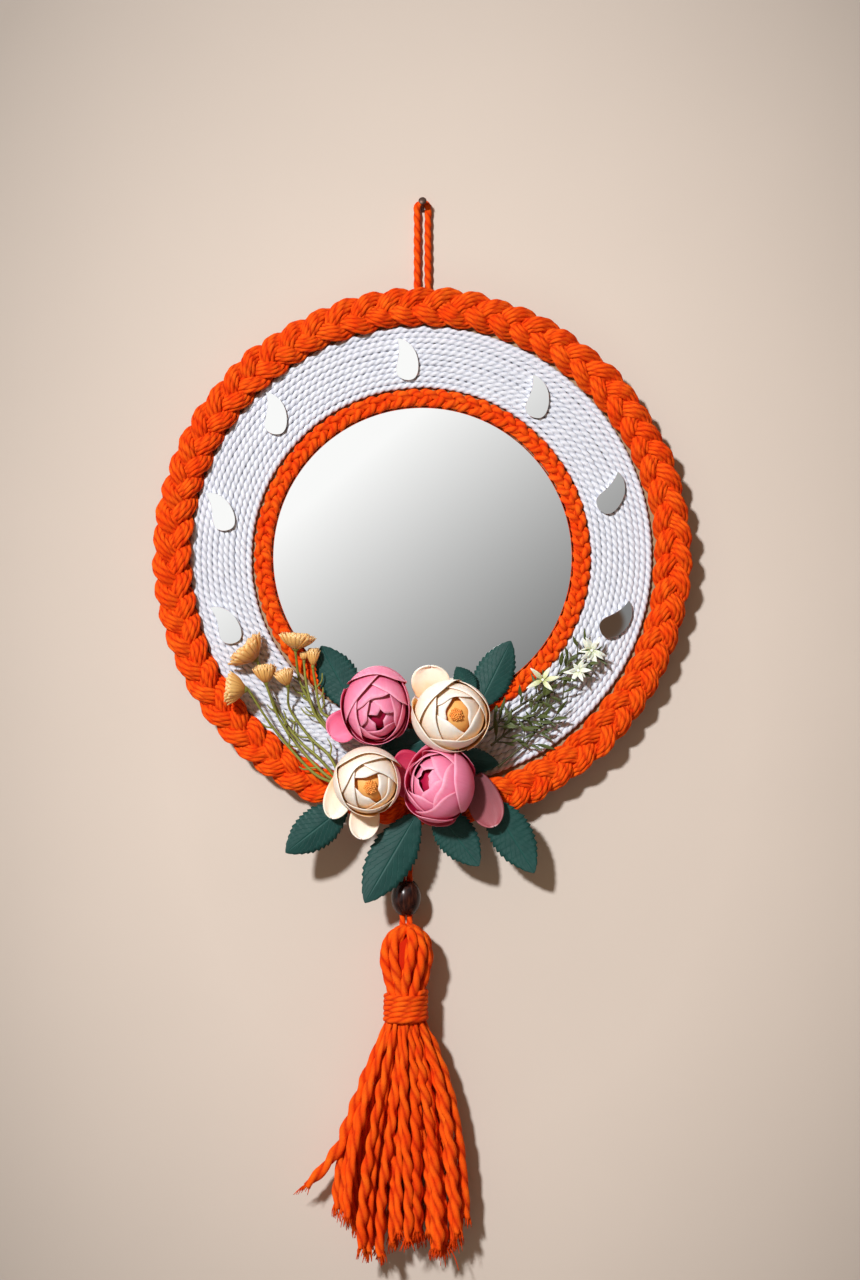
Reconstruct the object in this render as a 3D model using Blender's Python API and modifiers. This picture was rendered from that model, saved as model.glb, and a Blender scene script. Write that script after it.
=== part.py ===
"""Mirror work wall hanging on a nail.

A round board carries, from its centre out, a round mirror, a narrow orange braid,
ten turns of white cord and a wide orange braid. Seven paisley mirrors are glued on
the white cord, a posy of cloth flowers covers the bottom, and a bead and a tassel
hang below it. An orange cord from the back of the board loops over a nail.

Frame: metres, +Z up, the wall is the plane Y = 0 and the piece faces -Y.
The origin is the middle of the nail's section in the wall plane.
"""

import math

import bmesh
import bpy
from mathutils import Matrix, Vector

MM = 0.001
GAP = 0.3 * MM

# The ring's centre, below the nail
RING_DROP = 174.6 * MM

# The board and what is glued on its front, as depths in front of the wall
BOARD_RADIUS = 127.0 * MM
BOARD_BACK = 4.0 * MM
BOARD_THICK = 4.0 * MM
BOARD_FRONT = BOARD_BACK + BOARD_THICK
GLUED_BACK = BOARD_FRONT + GAP
MIRROR_RADIUS = 75.0 * MM
MIRROR_THICK = 3.0 * MM

# The narrow braid round the mirror
INNER_BRAID_RADIUS = 80.0 * MM
INNER_BRAID_HALF_WIDTH = 4.55 * MM
INNER_BRAID_THICK = 5.6 * MM
INNER_BRAID_LOBES = 72
INNER_BRAID_FRONT = GLUED_BACK + INNER_BRAID_THICK

# The wide braid on the board's rim
OUTER_BRAID_RADIUS = 124.9 * MM
OUTER_BRAID_HALF_WIDTH = 9.7 * MM
OUTER_BRAID_THICK = 11.5 * MM
OUTER_BRAID_LOBES = 63
OUTER_BRAID_FRONT = GLUED_BACK + OUTER_BRAID_THICK
BRAID_GROOVE = 0.27
BRAID_VALLEY = 0.12
BRAID_SLANT = 0.6

# The white cord wound flat between the braids
CORD_DIAMETER = 3.2 * MM
WHITE_TURNS = 10
WHITE_INNER_RADIUS = INNER_BRAID_RADIUS + INNER_BRAID_HALF_WIDTH + GAP
WHITE_PITCH = 3.0 * MM
WHITE_GROOVE = 0.9 * MM
WHITE_FRONT = GLUED_BACK + CORD_DIAMETER

# The paisley mirrors: middle of each from the ring's centre, and its tip's direction
PAISLEY_LENGTH = 21.9 * MM
PAISLEY_THICK = 1.6 * MM
PAISLEYS = (
    # across, up, degrees
    (-9.2 * MM, 98.8 * MM, 108.4),
    (56.4 * MM, 80.1 * MM, 97.1),
    (94.1 * MM, 32.2 * MM, 72.0),
    (96.9 * MM, -30.8 * MM, 56.1),
    (-99.1 * MM, -33.7 * MM, 129.4),
    (-102.0 * MM, 22.9 * MM, 125.2),
    (-74.8 * MM, 71.7 * MM, 107.8),
)

# The nail and the cord that hangs on it
NAIL_TILT = math.radians(23.0)
NAIL_SHANK_RADIUS = 0.75 * MM
NAIL_HEAD_RADIUS = 2.0 * MM
NAIL_HEAD_THICK = 0.9 * MM
NAIL_REACH = 10.5 * MM
LOOP_DEPTH = 2.1 * MM
LOOP_LEG = 2.4 * MM
LOOP_END_DROP = 92.0 * MM

# The bead, the doubled cord through it and the tassel
TASSEL_ACROSS = -8.2 * MM
TASSEL_DEPTH = 15.5 * MM
BEAD_RADIUS = 7.4 * MM
BEAD_HEIGHT = 16.6 * MM
BEAD_BORE_RADIUS = 3.8 * MM
BEAD_DROP = 344.6 * MM
BEAD_DEPTH = 12.0 * MM
TASSEL_TOP_DROP = 360.0 * MM
TASSEL_WAIST_DROP = 390.0 * MM
TASSEL_ROOT_DROP = 409.5 * MM
TASSEL_END_DROP = 523.0 * MM
TASSEL_WAIST_RADIUS = 9.4 * MM
TASSEL_WRAP_RADIUS = 11.4 * MM
TASSEL_STRANDS = 30
STRAND_RADIUS = 1.72 * MM
STRAND_TAPER = (0.56, 0.61, 0.74, 0.87, 0.97, 1.0)
FLARE_ACROSS = 4.4
FLARE_DEPTH = 1.45
STRAY_STRAND = 25
STRAY_KICK = 19.0 * MM
STRAY_END_DROP = 491.0 * MM

# Cloth leaves and petals
SHEET_THICK = 1.0 * MM

ORANGE = (0.95, 0.10, 0.005)
WHITE = (0.86, 0.88, 0.93)
PINK = (0.80, 0.16, 0.32)
CREAM = (0.93, 0.80, 0.66)
LEAF_GREEN = (0.012, 0.085, 0.070)
STEM_GREEN = (0.22, 0.27, 0.04)
OCHRE = (0.72, 0.31, 0.09)
PALE = (0.80, 0.78, 0.50)
BOARD_BROWN = (0.36, 0.22, 0.12)
SILVER = (0.80, 0.81, 0.82)
BEAD_BROWN = (0.045, 0.012, 0.008)
NAIL_BROWN = (0.06, 0.035, 0.03)


def clear_scene():
    """Remove what the file starts with."""
    for old in list(bpy.data.objects):
        bpy.data.objects.remove(old, do_unlink=True)


def make_collection(name):
    """A collection in the scene for the parts or for the cutters."""
    group = bpy.data.collections.new(name)
    bpy.context.scene.collection.children.link(group)
    return group


def make_material(name, colour, roughness, metallic=0.0):
    """A Principled material of one plain finish."""
    material = bpy.data.materials.new(name)
    material.use_nodes = True
    shader = material.node_tree.nodes["Principled BSDF"]
    shader.inputs["Base Color"].default_value = (*colour, 1.0)
    shader.inputs["Roughness"].default_value = roughness
    shader.inputs["Metallic"].default_value = metallic
    return material


def add_part(name, data, material, group, matrix=None):
    """Link one named object with its own material."""
    part = bpy.data.objects.new(name, data)
    group.objects.link(part)
    data.materials.append(material)
    if matrix is not None:
        part.matrix_world = matrix
    return part


def face_on(across, depth, up):
    """Local X to the right, local Y up and local Z towards the viewer."""
    return Matrix.Translation((across, -depth, up)) @ Matrix.Rotation(math.radians(90.0), 4, "X")


def ring_point(across, depth, up):
    """A world point from a place measured from the ring's centre."""
    return Vector((across, -depth, up - RING_DROP))


def smooth(mesh, degrees=40.0):
    """Smooth shading that keeps real edges."""
    mesh.shade_smooth()
    mesh.set_sharp_from_angle(angle=math.radians(degrees))


def take_mesh(name, build):
    """A named mesh from a bmesh that the given function fills."""
    mesh = bpy.data.meshes.new(name)
    shape = bmesh.new()
    build(shape)
    bmesh.ops.recalc_face_normals(shape, faces=shape.faces)
    shape.to_mesh(mesh)
    shape.free()
    return mesh


def turned(name, profile, steps, material, group, matrix):
    """A closed profile at +X, outer side running down, turned about local Z."""
    mesh = bpy.data.meshes.new(name)
    count = len(profile)
    edges = [(index, (index + 1) % count) for index in range(count)]
    mesh.from_pydata([(radius, 0.0, height) for radius, height in profile], edges, [])
    part = add_part(name, mesh, material, group, matrix)
    screw = part.modifiers.new("Turn", "SCREW")
    screw.axis = "Z"
    screw.angle = math.radians(360.0)
    screw.steps = steps
    screw.render_steps = steps
    screw.use_merge_vertices = True
    screw.merge_threshold = 0.00001
    screw.use_smooth_shade = True
    return part


def disc(name, radius, back, thick, sides, bevel, material, group):
    """A round plate lying face on, centred on the ring."""
    def build(shape):
        bmesh.ops.create_cone(shape, cap_ends=True, segments=sides,
                              radius1=radius, radius2=radius, depth=thick)
    mesh = take_mesh(name, build)
    smooth(mesh)
    part = add_part(name, mesh, material, group, face_on(0.0, back + thick / 2, -RING_DROP))
    if bevel:
        edge = part.modifiers.new("Edge", "BEVEL")
        edge.width = bevel
        edge.segments = 1
        edge.limit_method = "ANGLE"
    return part


def braid_ring(name, radius, half_width, thick, lobes, along, around, material, group):
    """A flat braid closed into a ring: a torus whose points are moved into plaits.

    The plaits slant back from the braid's middle line, and those of its two sides
    are half a plait apart. Seen from the front they point counter-clockwise.
    """
    bpy.ops.mesh.primitive_torus_add(major_segments=lobes * along, minor_segments=around,
                                     major_radius=1.0, minor_radius=0.25)
    part = bpy.context.object
    part.name = name
    mesh = part.data
    mesh.name = name
    for point in mesh.vertices:
        turn = math.atan2(point.co.y, point.co.x)
        out = (math.hypot(point.co.x, point.co.y) - 1.0) / 0.25
        rise = point.co.z / 0.25
        plait = turn / math.tau * lobes + (0.5 if out < 0.0 else 0.0)
        swell = abs(math.sin(math.pi * plait))
        side = min(1.0, abs(out) * 1.6)
        size = 1.0 - BRAID_GROOVE * side * (1.0 - swell) - BRAID_VALLEY * (1.0 - side)
        turn -= BRAID_SLANT * abs(out) * math.tau / lobes
        reach = radius + half_width * out * size
        height = thick / 2 * (1.0 + (rise * size if rise > 0.0 else max(rise, -0.8) / 0.8))
        point.co = (reach * math.cos(turn), reach * math.sin(turn), height)
    mesh.materials.append(material)
    smooth(mesh, 75.0)
    for owner in list(part.users_collection):
        owner.objects.unlink(part)
    group.objects.link(part)
    part.matrix_world = face_on(0.0, GLUED_BACK, -RING_DROP)
    return part


def white_band(material, group):
    """Ten turns of white cord as one turned plate with a ridge for each turn."""
    outer = WHITE_INNER_RADIUS + WHITE_TURNS * WHITE_PITCH
    profile = [(outer, CORD_DIAMETER - WHITE_GROOVE), (outer, 0.0), (WHITE_INNER_RADIUS, 0.0),
               (WHITE_INNER_RADIUS, CORD_DIAMETER - WHITE_GROOVE)]
    for turn in range(WHITE_TURNS):
        start = WHITE_INNER_RADIUS + turn * WHITE_PITCH
        profile.append((start + WHITE_PITCH / 2, CORD_DIAMETER))
        if turn < WHITE_TURNS - 1:
            profile.append((start + WHITE_PITCH, CORD_DIAMETER - WHITE_GROOVE))
    return turned("white_cord_band", profile, 48, material, group,
                  face_on(0.0, GLUED_BACK, -RING_DROP))


def paisley_outline(curve):
    """One closed Bezier outline, its round end down and its tip up."""
    knots = (
        # point, handle before, handle after
        ((0.000, 1.00), (-0.01, 0.58), (0.155, 0.95)),
        ((0.305, 0.50), (0.305, 0.75), (0.305, 0.28)),
        ((0.030, 0.00), (0.20, 0.00), (-0.12, 0.00)),
        ((-0.265, 0.25), (-0.265, 0.12), (-0.265, 0.42)),
    )
    outline = curve.splines.new("BEZIER")
    outline.bezier_points.add(len(knots) - 1)
    for knot, (place, before, after) in zip(outline.bezier_points, knots):
        knot.handle_left_type = "FREE"
        knot.handle_right_type = "FREE"
        knot.co = (place[0] * PAISLEY_LENGTH, (place[1] - 0.5) * PAISLEY_LENGTH, 0.0)
        knot.handle_left = (before[0] * PAISLEY_LENGTH, (before[1] - 0.5) * PAISLEY_LENGTH, 0.0)
        knot.handle_right = (after[0] * PAISLEY_LENGTH, (after[1] - 0.5) * PAISLEY_LENGTH, 0.0)
    outline.use_cyclic_u = True


def paisley_mirrors(material, group):
    """The seven small mirrors, face on, on the white cord."""
    depth = WHITE_FRONT + GAP + PAISLEY_THICK / 2
    for number, (across, up, degrees) in enumerate(PAISLEYS, start=1):
        name = f"paisley_mirror_{number}"
        curve = bpy.data.curves.new(name, "CURVE")
        curve.dimensions = "2D"
        curve.fill_mode = "BOTH"
        curve.extrude = PAISLEY_THICK / 2
        curve.resolution_u = 5
        paisley_outline(curve)
        turn = Matrix.Rotation(math.radians(degrees - 90.0), 4, "Z")
        add_part(name, curve, material, group, face_on(across, depth, up - RING_DROP) @ turn)


def smooth_route(points, spacing):
    """Points about a spacing apart on a smooth curve through the given points."""
    route = [Vector(point) for point in points]
    ends = [2 * route[0] - route[1]] + route + [2 * route[-1] - route[-2]]
    result = []
    for before, start, stop, after in zip(ends, ends[1:], ends[2:], ends[3:]):
        pieces = max(1, round((stop - start).length / spacing))
        for piece in range(pieces):
            t = piece / pieces
            result.append(0.5 * (2 * start + (stop - before) * t
                                 + (2 * before - 5 * start + 4 * stop - after) * t * t
                                 + (3 * start - before - 3 * stop + after) * t * t * t))
    result.append(route[-1])
    return result


def tube(name, points, radius, resolution, material, group, radii=None):
    """A round tube along the points, with filled ends."""
    curve = bpy.data.curves.new(name, "CURVE")
    curve.dimensions = "3D"
    curve.bevel_depth = radius
    curve.bevel_resolution = resolution
    curve.use_fill_caps = True
    add_spline(curve, points, radii)
    return add_part(name, curve, material, group)


def add_spline(curve, points, radii=None):
    """One straight-sided spline, with a radius factor for each point if given."""
    spline = curve.splines.new("POLY")
    spline.points.add(len(points) - 1)
    for index, point in enumerate(points):
        spline.points[index].co = (*point, 1.0)
        spline.points[index].radius = radii[index] if radii else 1.0


def nail(material, group, cutters):
    """A headed nail driven in at a slant, cut off flat where it enters the wall."""
    buried = 4.0 * MM
    profile = [
        (0.0, NAIL_REACH), (NAIL_HEAD_RADIUS * 0.7, NAIL_REACH),
        (NAIL_HEAD_RADIUS, NAIL_REACH - NAIL_HEAD_THICK * 0.4),
        (NAIL_HEAD_RADIUS, NAIL_REACH - NAIL_HEAD_THICK),
        (NAIL_SHANK_RADIUS, NAIL_REACH - NAIL_HEAD_THICK),
        (NAIL_SHANK_RADIUS, -buried), (0.0, -buried),
    ]
    slant = face_on(0.0, 0.0, 0.0) @ Matrix.Rotation(-NAIL_TILT, 4, "X")
    part = turned("nail", profile, 12, material, group, slant)
    bpy.ops.mesh.primitive_cube_add(size=20.0 * MM, location=(0.0, 10.0 * MM, 0.0))
    wall = bpy.context.object
    wall.name = "wall_cutter"
    wall.hide_render = True
    wall.display_type = "WIRE"
    for owner in list(wall.users_collection):
        owner.objects.unlink(wall)
    cutters.objects.link(wall)
    cut = part.modifiers.new("Wall", "BOOLEAN")
    cut.operation = "DIFFERENCE"
    cut.solver = "EXACT"
    cut.object = wall


def hanging_cord(material, group):
    """One cord: up from the board's back, over the nail and down again."""
    bend_up = LOOP_DEPTH * math.tan(NAIL_TILT)
    bend_radius = NAIL_SHANK_RADIUS + 0.15 * MM + GAP + CORD_DIAMETER / 2
    bend = []
    steps = 8
    for step in range(steps + 1):
        angle = math.pi * (1.0 - step / steps)
        bend.append((bend_radius * math.cos(angle), -LOOP_DEPTH,
                     bend_up + bend_radius * math.sin(angle)))
    leg = [(LOOP_LEG, -LOOP_DEPTH, up) for up in (-8.0 * MM, -25.0 * MM, -50.0 * MM, -75.0 * MM)]
    leg.append((LOOP_LEG + 1.0 * MM, -LOOP_DEPTH, -LOOP_END_DROP))
    left = [(-across, depth, up) for across, depth, up in reversed(leg)]
    points = smooth_route(left + bend + leg, 8.0 * MM)
    tube("hanging_cord", points, CORD_DIAMETER / 2, 2, material, group)


def tassel_cords(material, group):
    """The doubled cord from the board's back, through the bead, to the tassel."""
    half = CORD_DIAMETER / 2 + GAP / 2 + 0.02 * MM
    for name, side in (("tassel_cord_left", -half), ("tassel_cord_right", half)):
        across = TASSEL_ACROSS + side
        points = smooth_route([
            (across, -LOOP_DEPTH, -288.0 * MM),
            (across, -LOOP_DEPTH, -302.0 * MM),
            (across, -4.2 * MM, -315.0 * MM),
            (across, -8.6 * MM, -326.0 * MM),
            (across, -BEAD_DEPTH, -337.0 * MM),
            (across, -BEAD_DEPTH, -352.0 * MM),
            (across, -BEAD_DEPTH - 1.2 * MM, 2 * GAP - TASSEL_TOP_DROP),
        ], 8.0 * MM)
        tube(name, points, CORD_DIAMETER / 2, 2, material, group)


def bead(material, group):
    """A barrel-shaped wooden bead with a bore."""
    half = BEAD_HEIGHT / 2
    rows = 9
    profile = []
    for row in range(rows):
        angle = math.radians(58.0 - 116.0 * row / (rows - 1))
        profile.append((BEAD_RADIUS * math.cos(angle), half * math.sin(angle) / math.sin(math.radians(58.0))))
    profile.append((BEAD_BORE_RADIUS, -half))
    profile.append((BEAD_BORE_RADIUS, half))
    place = Matrix.Translation((TASSEL_ACROSS, -BEAD_DEPTH, -BEAD_DROP))
    turned("bead", profile, 20, material, group, place)


def tassel_head():
    """The looped head: a bulb with a swelling for each loop of cord, and its waist."""
    rings = (
        # radius, drop, depth of the grooves between loops
        (6.6 * MM, TASSEL_TOP_DROP, 0.0),
        (11.0 * MM, TASSEL_TOP_DROP + 4.0 * MM, 0.08),
        (13.7 * MM, TASSEL_TOP_DROP + 9.5 * MM, 0.16),
        (14.1 * MM, TASSEL_TOP_DROP + 15.0 * MM, 0.20),
        (12.9 * MM, TASSEL_TOP_DROP + 22.0 * MM, 0.16),
        (10.8 * MM, TASSEL_WAIST_DROP - 1.0 * MM, 0.08),
        (TASSEL_WAIST_RADIUS, TASSEL_WAIST_DROP, 0.0),
        (TASSEL_WAIST_RADIUS, TASSEL_ROOT_DROP - 2.0 * MM, 0.0),
        (10.3 * MM, TASSEL_ROOT_DROP, 0.0),
    )
    sides = 16

    def build(shape):
        bmesh.ops.create_uvsphere(shape, u_segments=sides, v_segments=len(rings) + 1, radius=1.0)
        levels = sorted({round(point.co.z, 4) for point in shape.verts}, reverse=True)
        for point in shape.verts:
            level = levels.index(round(point.co.z, 4))
            if level == 0 or level == len(levels) - 1:
                drop = rings[0][1] if level == 0 else rings[-1][1]
                point.co = (0.0, 0.0, -drop)
                continue
            radius, drop, groove = rings[level - 1]
            turn = math.atan2(point.co.y, point.co.x)
            odd = round(turn / math.tau * sides) % 2
            reach = radius * (1.0 - groove * odd)
            point.co = (reach * math.cos(turn), reach * math.sin(turn), -drop)
    return take_mesh("tassel_head", build)


def tassel_strand(number):
    """The route of one strand: its root under the waist, flaring out to its end."""
    golden = math.pi * (3.0 - math.sqrt(5.0))
    share = math.sqrt((number + 0.5) / TASSEL_STRANDS)
    turn = number * golden
    root_radius = 8.3 * MM * share
    root = Vector((root_radius * math.cos(turn), root_radius * math.sin(turn)))
    unevenness = math.sin(number * 2.4) * 5.0 * MM
    end = Vector((root.x * FLARE_ACROSS, root.y * FLARE_DEPTH))
    lift = 16.0 * MM * (end.x / (34.0 * MM)) ** 2
    top = -(TASSEL_ROOT_DROP - 3.0 * MM)
    bottom = -(TASSEL_END_DROP - lift + unevenness)
    kick = 0.0
    if number == STRAY_STRAND:
        kick = STRAY_KICK
        bottom = -STRAY_END_DROP
    points = []
    for t in (0.0, 0.05, 0.2, 0.42, 0.7, 1.0):
        flare = 1.0 - (1.0 - t) ** 1.7
        place = root.lerp(end, flare)
        place.x -= kick * max(0.0, (t - 0.55) / 0.45) ** 1.5
        points.append((place.x, place.y, top + (bottom - top) * t))
    return points


def tassel(material, group):
    """The head and its strands, joined at the strands' roots into one solid."""
    place = Matrix.Translation((TASSEL_ACROSS, -TASSEL_DEPTH, 0.0))
    curve = bpy.data.curves.new("tassel_strands", "CURVE")
    curve.dimensions = "3D"
    curve.bevel_depth = STRAND_RADIUS
    curve.bevel_resolution = 0
    curve.use_fill_caps = True
    for number in range(TASSEL_STRANDS):
        add_spline(curve, tassel_strand(number), STRAND_TAPER)
    strands_mesh = curve_to_mesh(curve, "tassel_strands")
    strands = bpy.data.objects.new("tassel_strand_union", strands_mesh)
    strands.matrix_world = place
    strands.hide_render = True
    strands.display_type = "WIRE"
    bpy.data.collections["cutters"].objects.link(strands)
    part = add_part("tassel", tassel_head(), material, group, place)
    join = part.modifiers.new("Strands", "BOOLEAN")
    join.operation = "UNION"
    join.solver = "EXACT"
    join.object = strands


def curve_to_mesh(curve, name):
    """A curve's tube as a mesh with its caps welded on."""
    holder = bpy.data.objects.new(name, curve)
    bpy.context.scene.collection.objects.link(holder)
    bpy.context.view_layer.update()
    graph = bpy.context.evaluated_depsgraph_get()
    mesh = bpy.data.meshes.new_from_object(holder.evaluated_get(graph))
    shape = bmesh.new()
    shape.from_mesh(mesh)
    bmesh.ops.remove_doubles(shape, verts=shape.verts, dist=0.00001)
    bmesh.ops.recalc_face_normals(shape, faces=shape.faces)
    shape.to_mesh(mesh)
    shape.free()
    bpy.data.objects.remove(holder, do_unlink=True)
    return mesh


def tassel_wrap(material, group):
    """The cord wound round the tassel's waist, as a turned sleeve with ridges."""
    turns = 5
    bottom = TASSEL_ROOT_DROP - 2.4 * MM
    height = bottom - TASSEL_WAIST_DROP - GAP
    inner = TASSEL_WAIST_RADIUS + GAP
    profile = []
    for turn in range(turns):
        top = height * (1.0 - turn / turns)
        profile.append((TASSEL_WRAP_RADIUS - 0.8 * MM, top))
        profile.append((TASSEL_WRAP_RADIUS, top - height / turns / 2))
    profile.append((TASSEL_WRAP_RADIUS - 0.8 * MM, 0.0))
    profile.append((inner, 0.0))
    profile.append((inner, height))
    place = Matrix.Translation((TASSEL_ACROSS, -TASSEL_DEPTH, -bottom))
    turned("tassel_wrap", profile, 16, material, group, place)


# Flower heads: middle from the ring's centre, depth, half sizes and where the eye looks
FLOWER_HEADS = (
    # name, across, up, depth, half width, half height, eye across, eye up, neck drop
    ("pink_flower_1", -22.5 * MM, -74.7 * MM, 33.0 * MM, 17.0 * MM, 18.6 * MM, 1.5 * MM, -6.0 * MM, 0.0),
    ("cream_flower_1", 14.2 * MM, -78.9 * MM, 39.0 * MM, 18.3 * MM, 17.0 * MM, 2.8 * MM, 0.5 * MM, 0.0),
    ("cream_flower_2", -26.8 * MM, -110.9 * MM, 36.0 * MM, 16.6 * MM, 16.6 * MM, 2.3 * MM, -2.5 * MM, 3.4 * MM),
    ("pink_flower_2", 9.0 * MM, -112.4 * MM, 36.0 * MM, 17.2 * MM, 16.4 * MM, -6.0 * MM, 6.0 * MM, 1.0 * MM),
)


def flower_head(name, across, up, depth, half_width, half_height, eye_across, eye_up,
                neck_shift, rest_depth, material, group):
    """A ranunculus head: a round bud of three nested rims on a short neck."""
    neck_radius = 3.5 * MM / half_width
    rings = (
        # radius share, height, share of the eye's shift
        (neck_radius, rest_depth - depth, 0.0),
        (neck_radius, -10.0 * MM, 0.0),
        (0.62, -8.5 * MM, 0.0),
        (0.93, -4.0 * MM, 0.0),
        (1.00, 1.5 * MM, 0.0),
        (0.90, 7.5 * MM, 0.25),
        (0.72, 11.0 * MM, 0.55),
        (0.63, 9.0 * MM, 0.62),
        (0.51, 12.5 * MM, 0.75),
        (0.41, 10.0 * MM, 0.85),
        (0.27, 12.5 * MM, 0.95),
        (0.17, 9.5 * MM, 1.0),
    )
    sides = 12

    def build(shape):
        bmesh.ops.create_uvsphere(shape, u_segments=sides, v_segments=len(rings) + 1, radius=1.0)
        levels = sorted({round(point.co.z, 4) for point in shape.verts})
        for point in shape.verts:
            level = levels.index(round(point.co.z, 4))
            row = rings[min(max(level - 1, 0), len(rings) - 1)]
            share = 0.0 if level in (0, len(levels) - 1) else row[0]
            turn = math.atan2(point.co.y, point.co.x)
            slip = neck_shift if level <= 2 else 0.0
            point.co = (share * half_width * math.cos(turn) + eye_across * row[2],
                        share * half_height * math.sin(turn) + eye_up * row[2] + slip,
                        row[1])
    mesh = take_mesh(name, build)
    smooth(mesh)
    add_part(name, mesh, material, group, face_on(across, depth, up - RING_DROP))


def sheet(name, base, tip, width, rows, columns, half_width, lift, material, group):
    """A cloth leaf or petal: a grid along base to tip, shaped by two functions."""
    base = ring_point(*base)
    tip = ring_point(*tip)
    along = (tip - base).normalized()
    front = Vector((0.0, -1.0, 0.0))
    front = (front - front.dot(along) * along).normalized()
    side = along.cross(front)
    length = (tip - base).length

    def build(shape):
        bmesh.ops.create_grid(shape, x_segments=columns, y_segments=rows, size=1.0)
        for point in shape.verts:
            across = point.co.x
            share = (point.co.y + 1.0) / 2.0
            row = round(share * rows)
            point.co = (across * width / 2 * half_width(share, row), share * length,
                        lift(across, share))
    mesh = take_mesh(name, build)
    axes = Matrix((side, along, front)).transposed().to_4x4()
    part = add_part(name, mesh, material, group, Matrix.Translation(base) @ axes)
    thicken = part.modifiers.new("Cloth", "SOLIDIFY")
    thicken.thickness = SHEET_THICK
    thicken.offset = 0.0
    return part


def leaf_half_width(share, row):
    """A pointed oval with a saw edge."""
    oval = math.sin(math.pi * min(1.0, 0.06 + 0.94 * share)) ** 0.75 if share < 1.0 else 0.0
    return max(0.05, oval * (1.0 if row % 2 else 0.88))


def leaf_lift(across, share):
    """A shallow fold along the midrib, with the tip bending a little."""
    return -1.6 * MM * abs(across) * math.sin(math.pi * share) + 1.0 * MM * share * share


def petal_half_width(share, row):
    """A rounded petal, a little broader towards its tip."""
    reach = (share - 0.55) / 0.58
    return math.sqrt(max(0.08, 1.0 - reach * reach))


def petal_lift(across, share):
    """A cupped petal: its sides and its tip stand forward."""
    return 1.2 * MM * across * across * share + 0.8 * MM * share * share


# Leaves and petals: base and tip as (across, depth, up) from the ring's centre
LEAVES = (
    # name, base, tip, width, rows
    ("leaf_upper_left", (-34.0 * MM, 17.0 * MM, -75.0 * MM), (-50.5 * MM, 15.2 * MM, -44.4 * MM), 20.0 * MM, 10),
    ("leaf_upper_right", (28.0 * MM, 16.4 * MM, -74.4 * MM), (44.0 * MM, 15.0 * MM, -41.9 * MM), 19.0 * MM, 10),
    ("leaf_upper_small", (25.0 * MM, 20.0 * MM, -68.4 * MM), (17.0 * MM, 19.0 * MM, -54.9 * MM), 11.0 * MM, 6),
    ("leaf_lower_left", (-38.5 * MM, 21.6 * MM, -123.9 * MM), (-67.5 * MM, 30.0 * MM, -146.4 * MM), 20.0 * MM, 10),
    ("leaf_lower_middle", (-3.5 * MM, 21.6 * MM, -128.9 * MM), (-28.5 * MM, 26.0 * MM, -171.4 * MM), 23.0 * MM, 10),
    ("leaf_lower_shaded", (6.5 * MM, 21.8 * MM, -125.4 * MM), (28.0 * MM, 22.0 * MM, -153.4 * MM), 20.0 * MM, 8),
    ("leaf_lower_right", (34.0 * MM, 21.8 * MM, -121.4 * MM), (55.5 * MM, 21.5 * MM, -156.9 * MM), 21.0 * MM, 10),
)
PINK_PETALS = (
    # name, base, tip, width
    ("pink_petal_upper_left", (-33.5 * MM, 22.0 * MM, -78.9 * MM), (-45.5 * MM, 21.5 * MM, -88.9 * MM), 16.0 * MM),
    ("pink_petal_left", (1.0 * MM, 25.2 * MM, -107.0 * MM), (-15.0 * MM, 25.0 * MM, -108.0 * MM), 24.0 * MM),
    ("pink_petal_low", (8.0 * MM, 25.4 * MM, -121.0 * MM), (6.0 * MM, 27.0 * MM, -133.4 * MM), 20.0 * MM),
    ("pink_petal_right", (25.5 * MM, 25.6 * MM, -108.5 * MM), (35.5 * MM, 26.5 * MM, -133.5 * MM), 17.0 * MM),
)
CREAM_PETALS = (
    ("cream_petal_back", (4.0 * MM, 24.0 * MM, -71.4 * MM), (4.0 * MM, 23.0 * MM, -54.4 * MM), 19.0 * MM),
    ("cream_petal_left", (-37.0 * MM, 25.2 * MM, -106.0 * MM), (-45.0 * MM, 27.0 * MM, -129.5 * MM), 14.0 * MM),
    ("cream_petal_low", (-27.0 * MM, 25.4 * MM, -119.4 * MM), (-30.0 * MM, 27.5 * MM, -139.9 * MM), 15.0 * MM),
)

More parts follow.
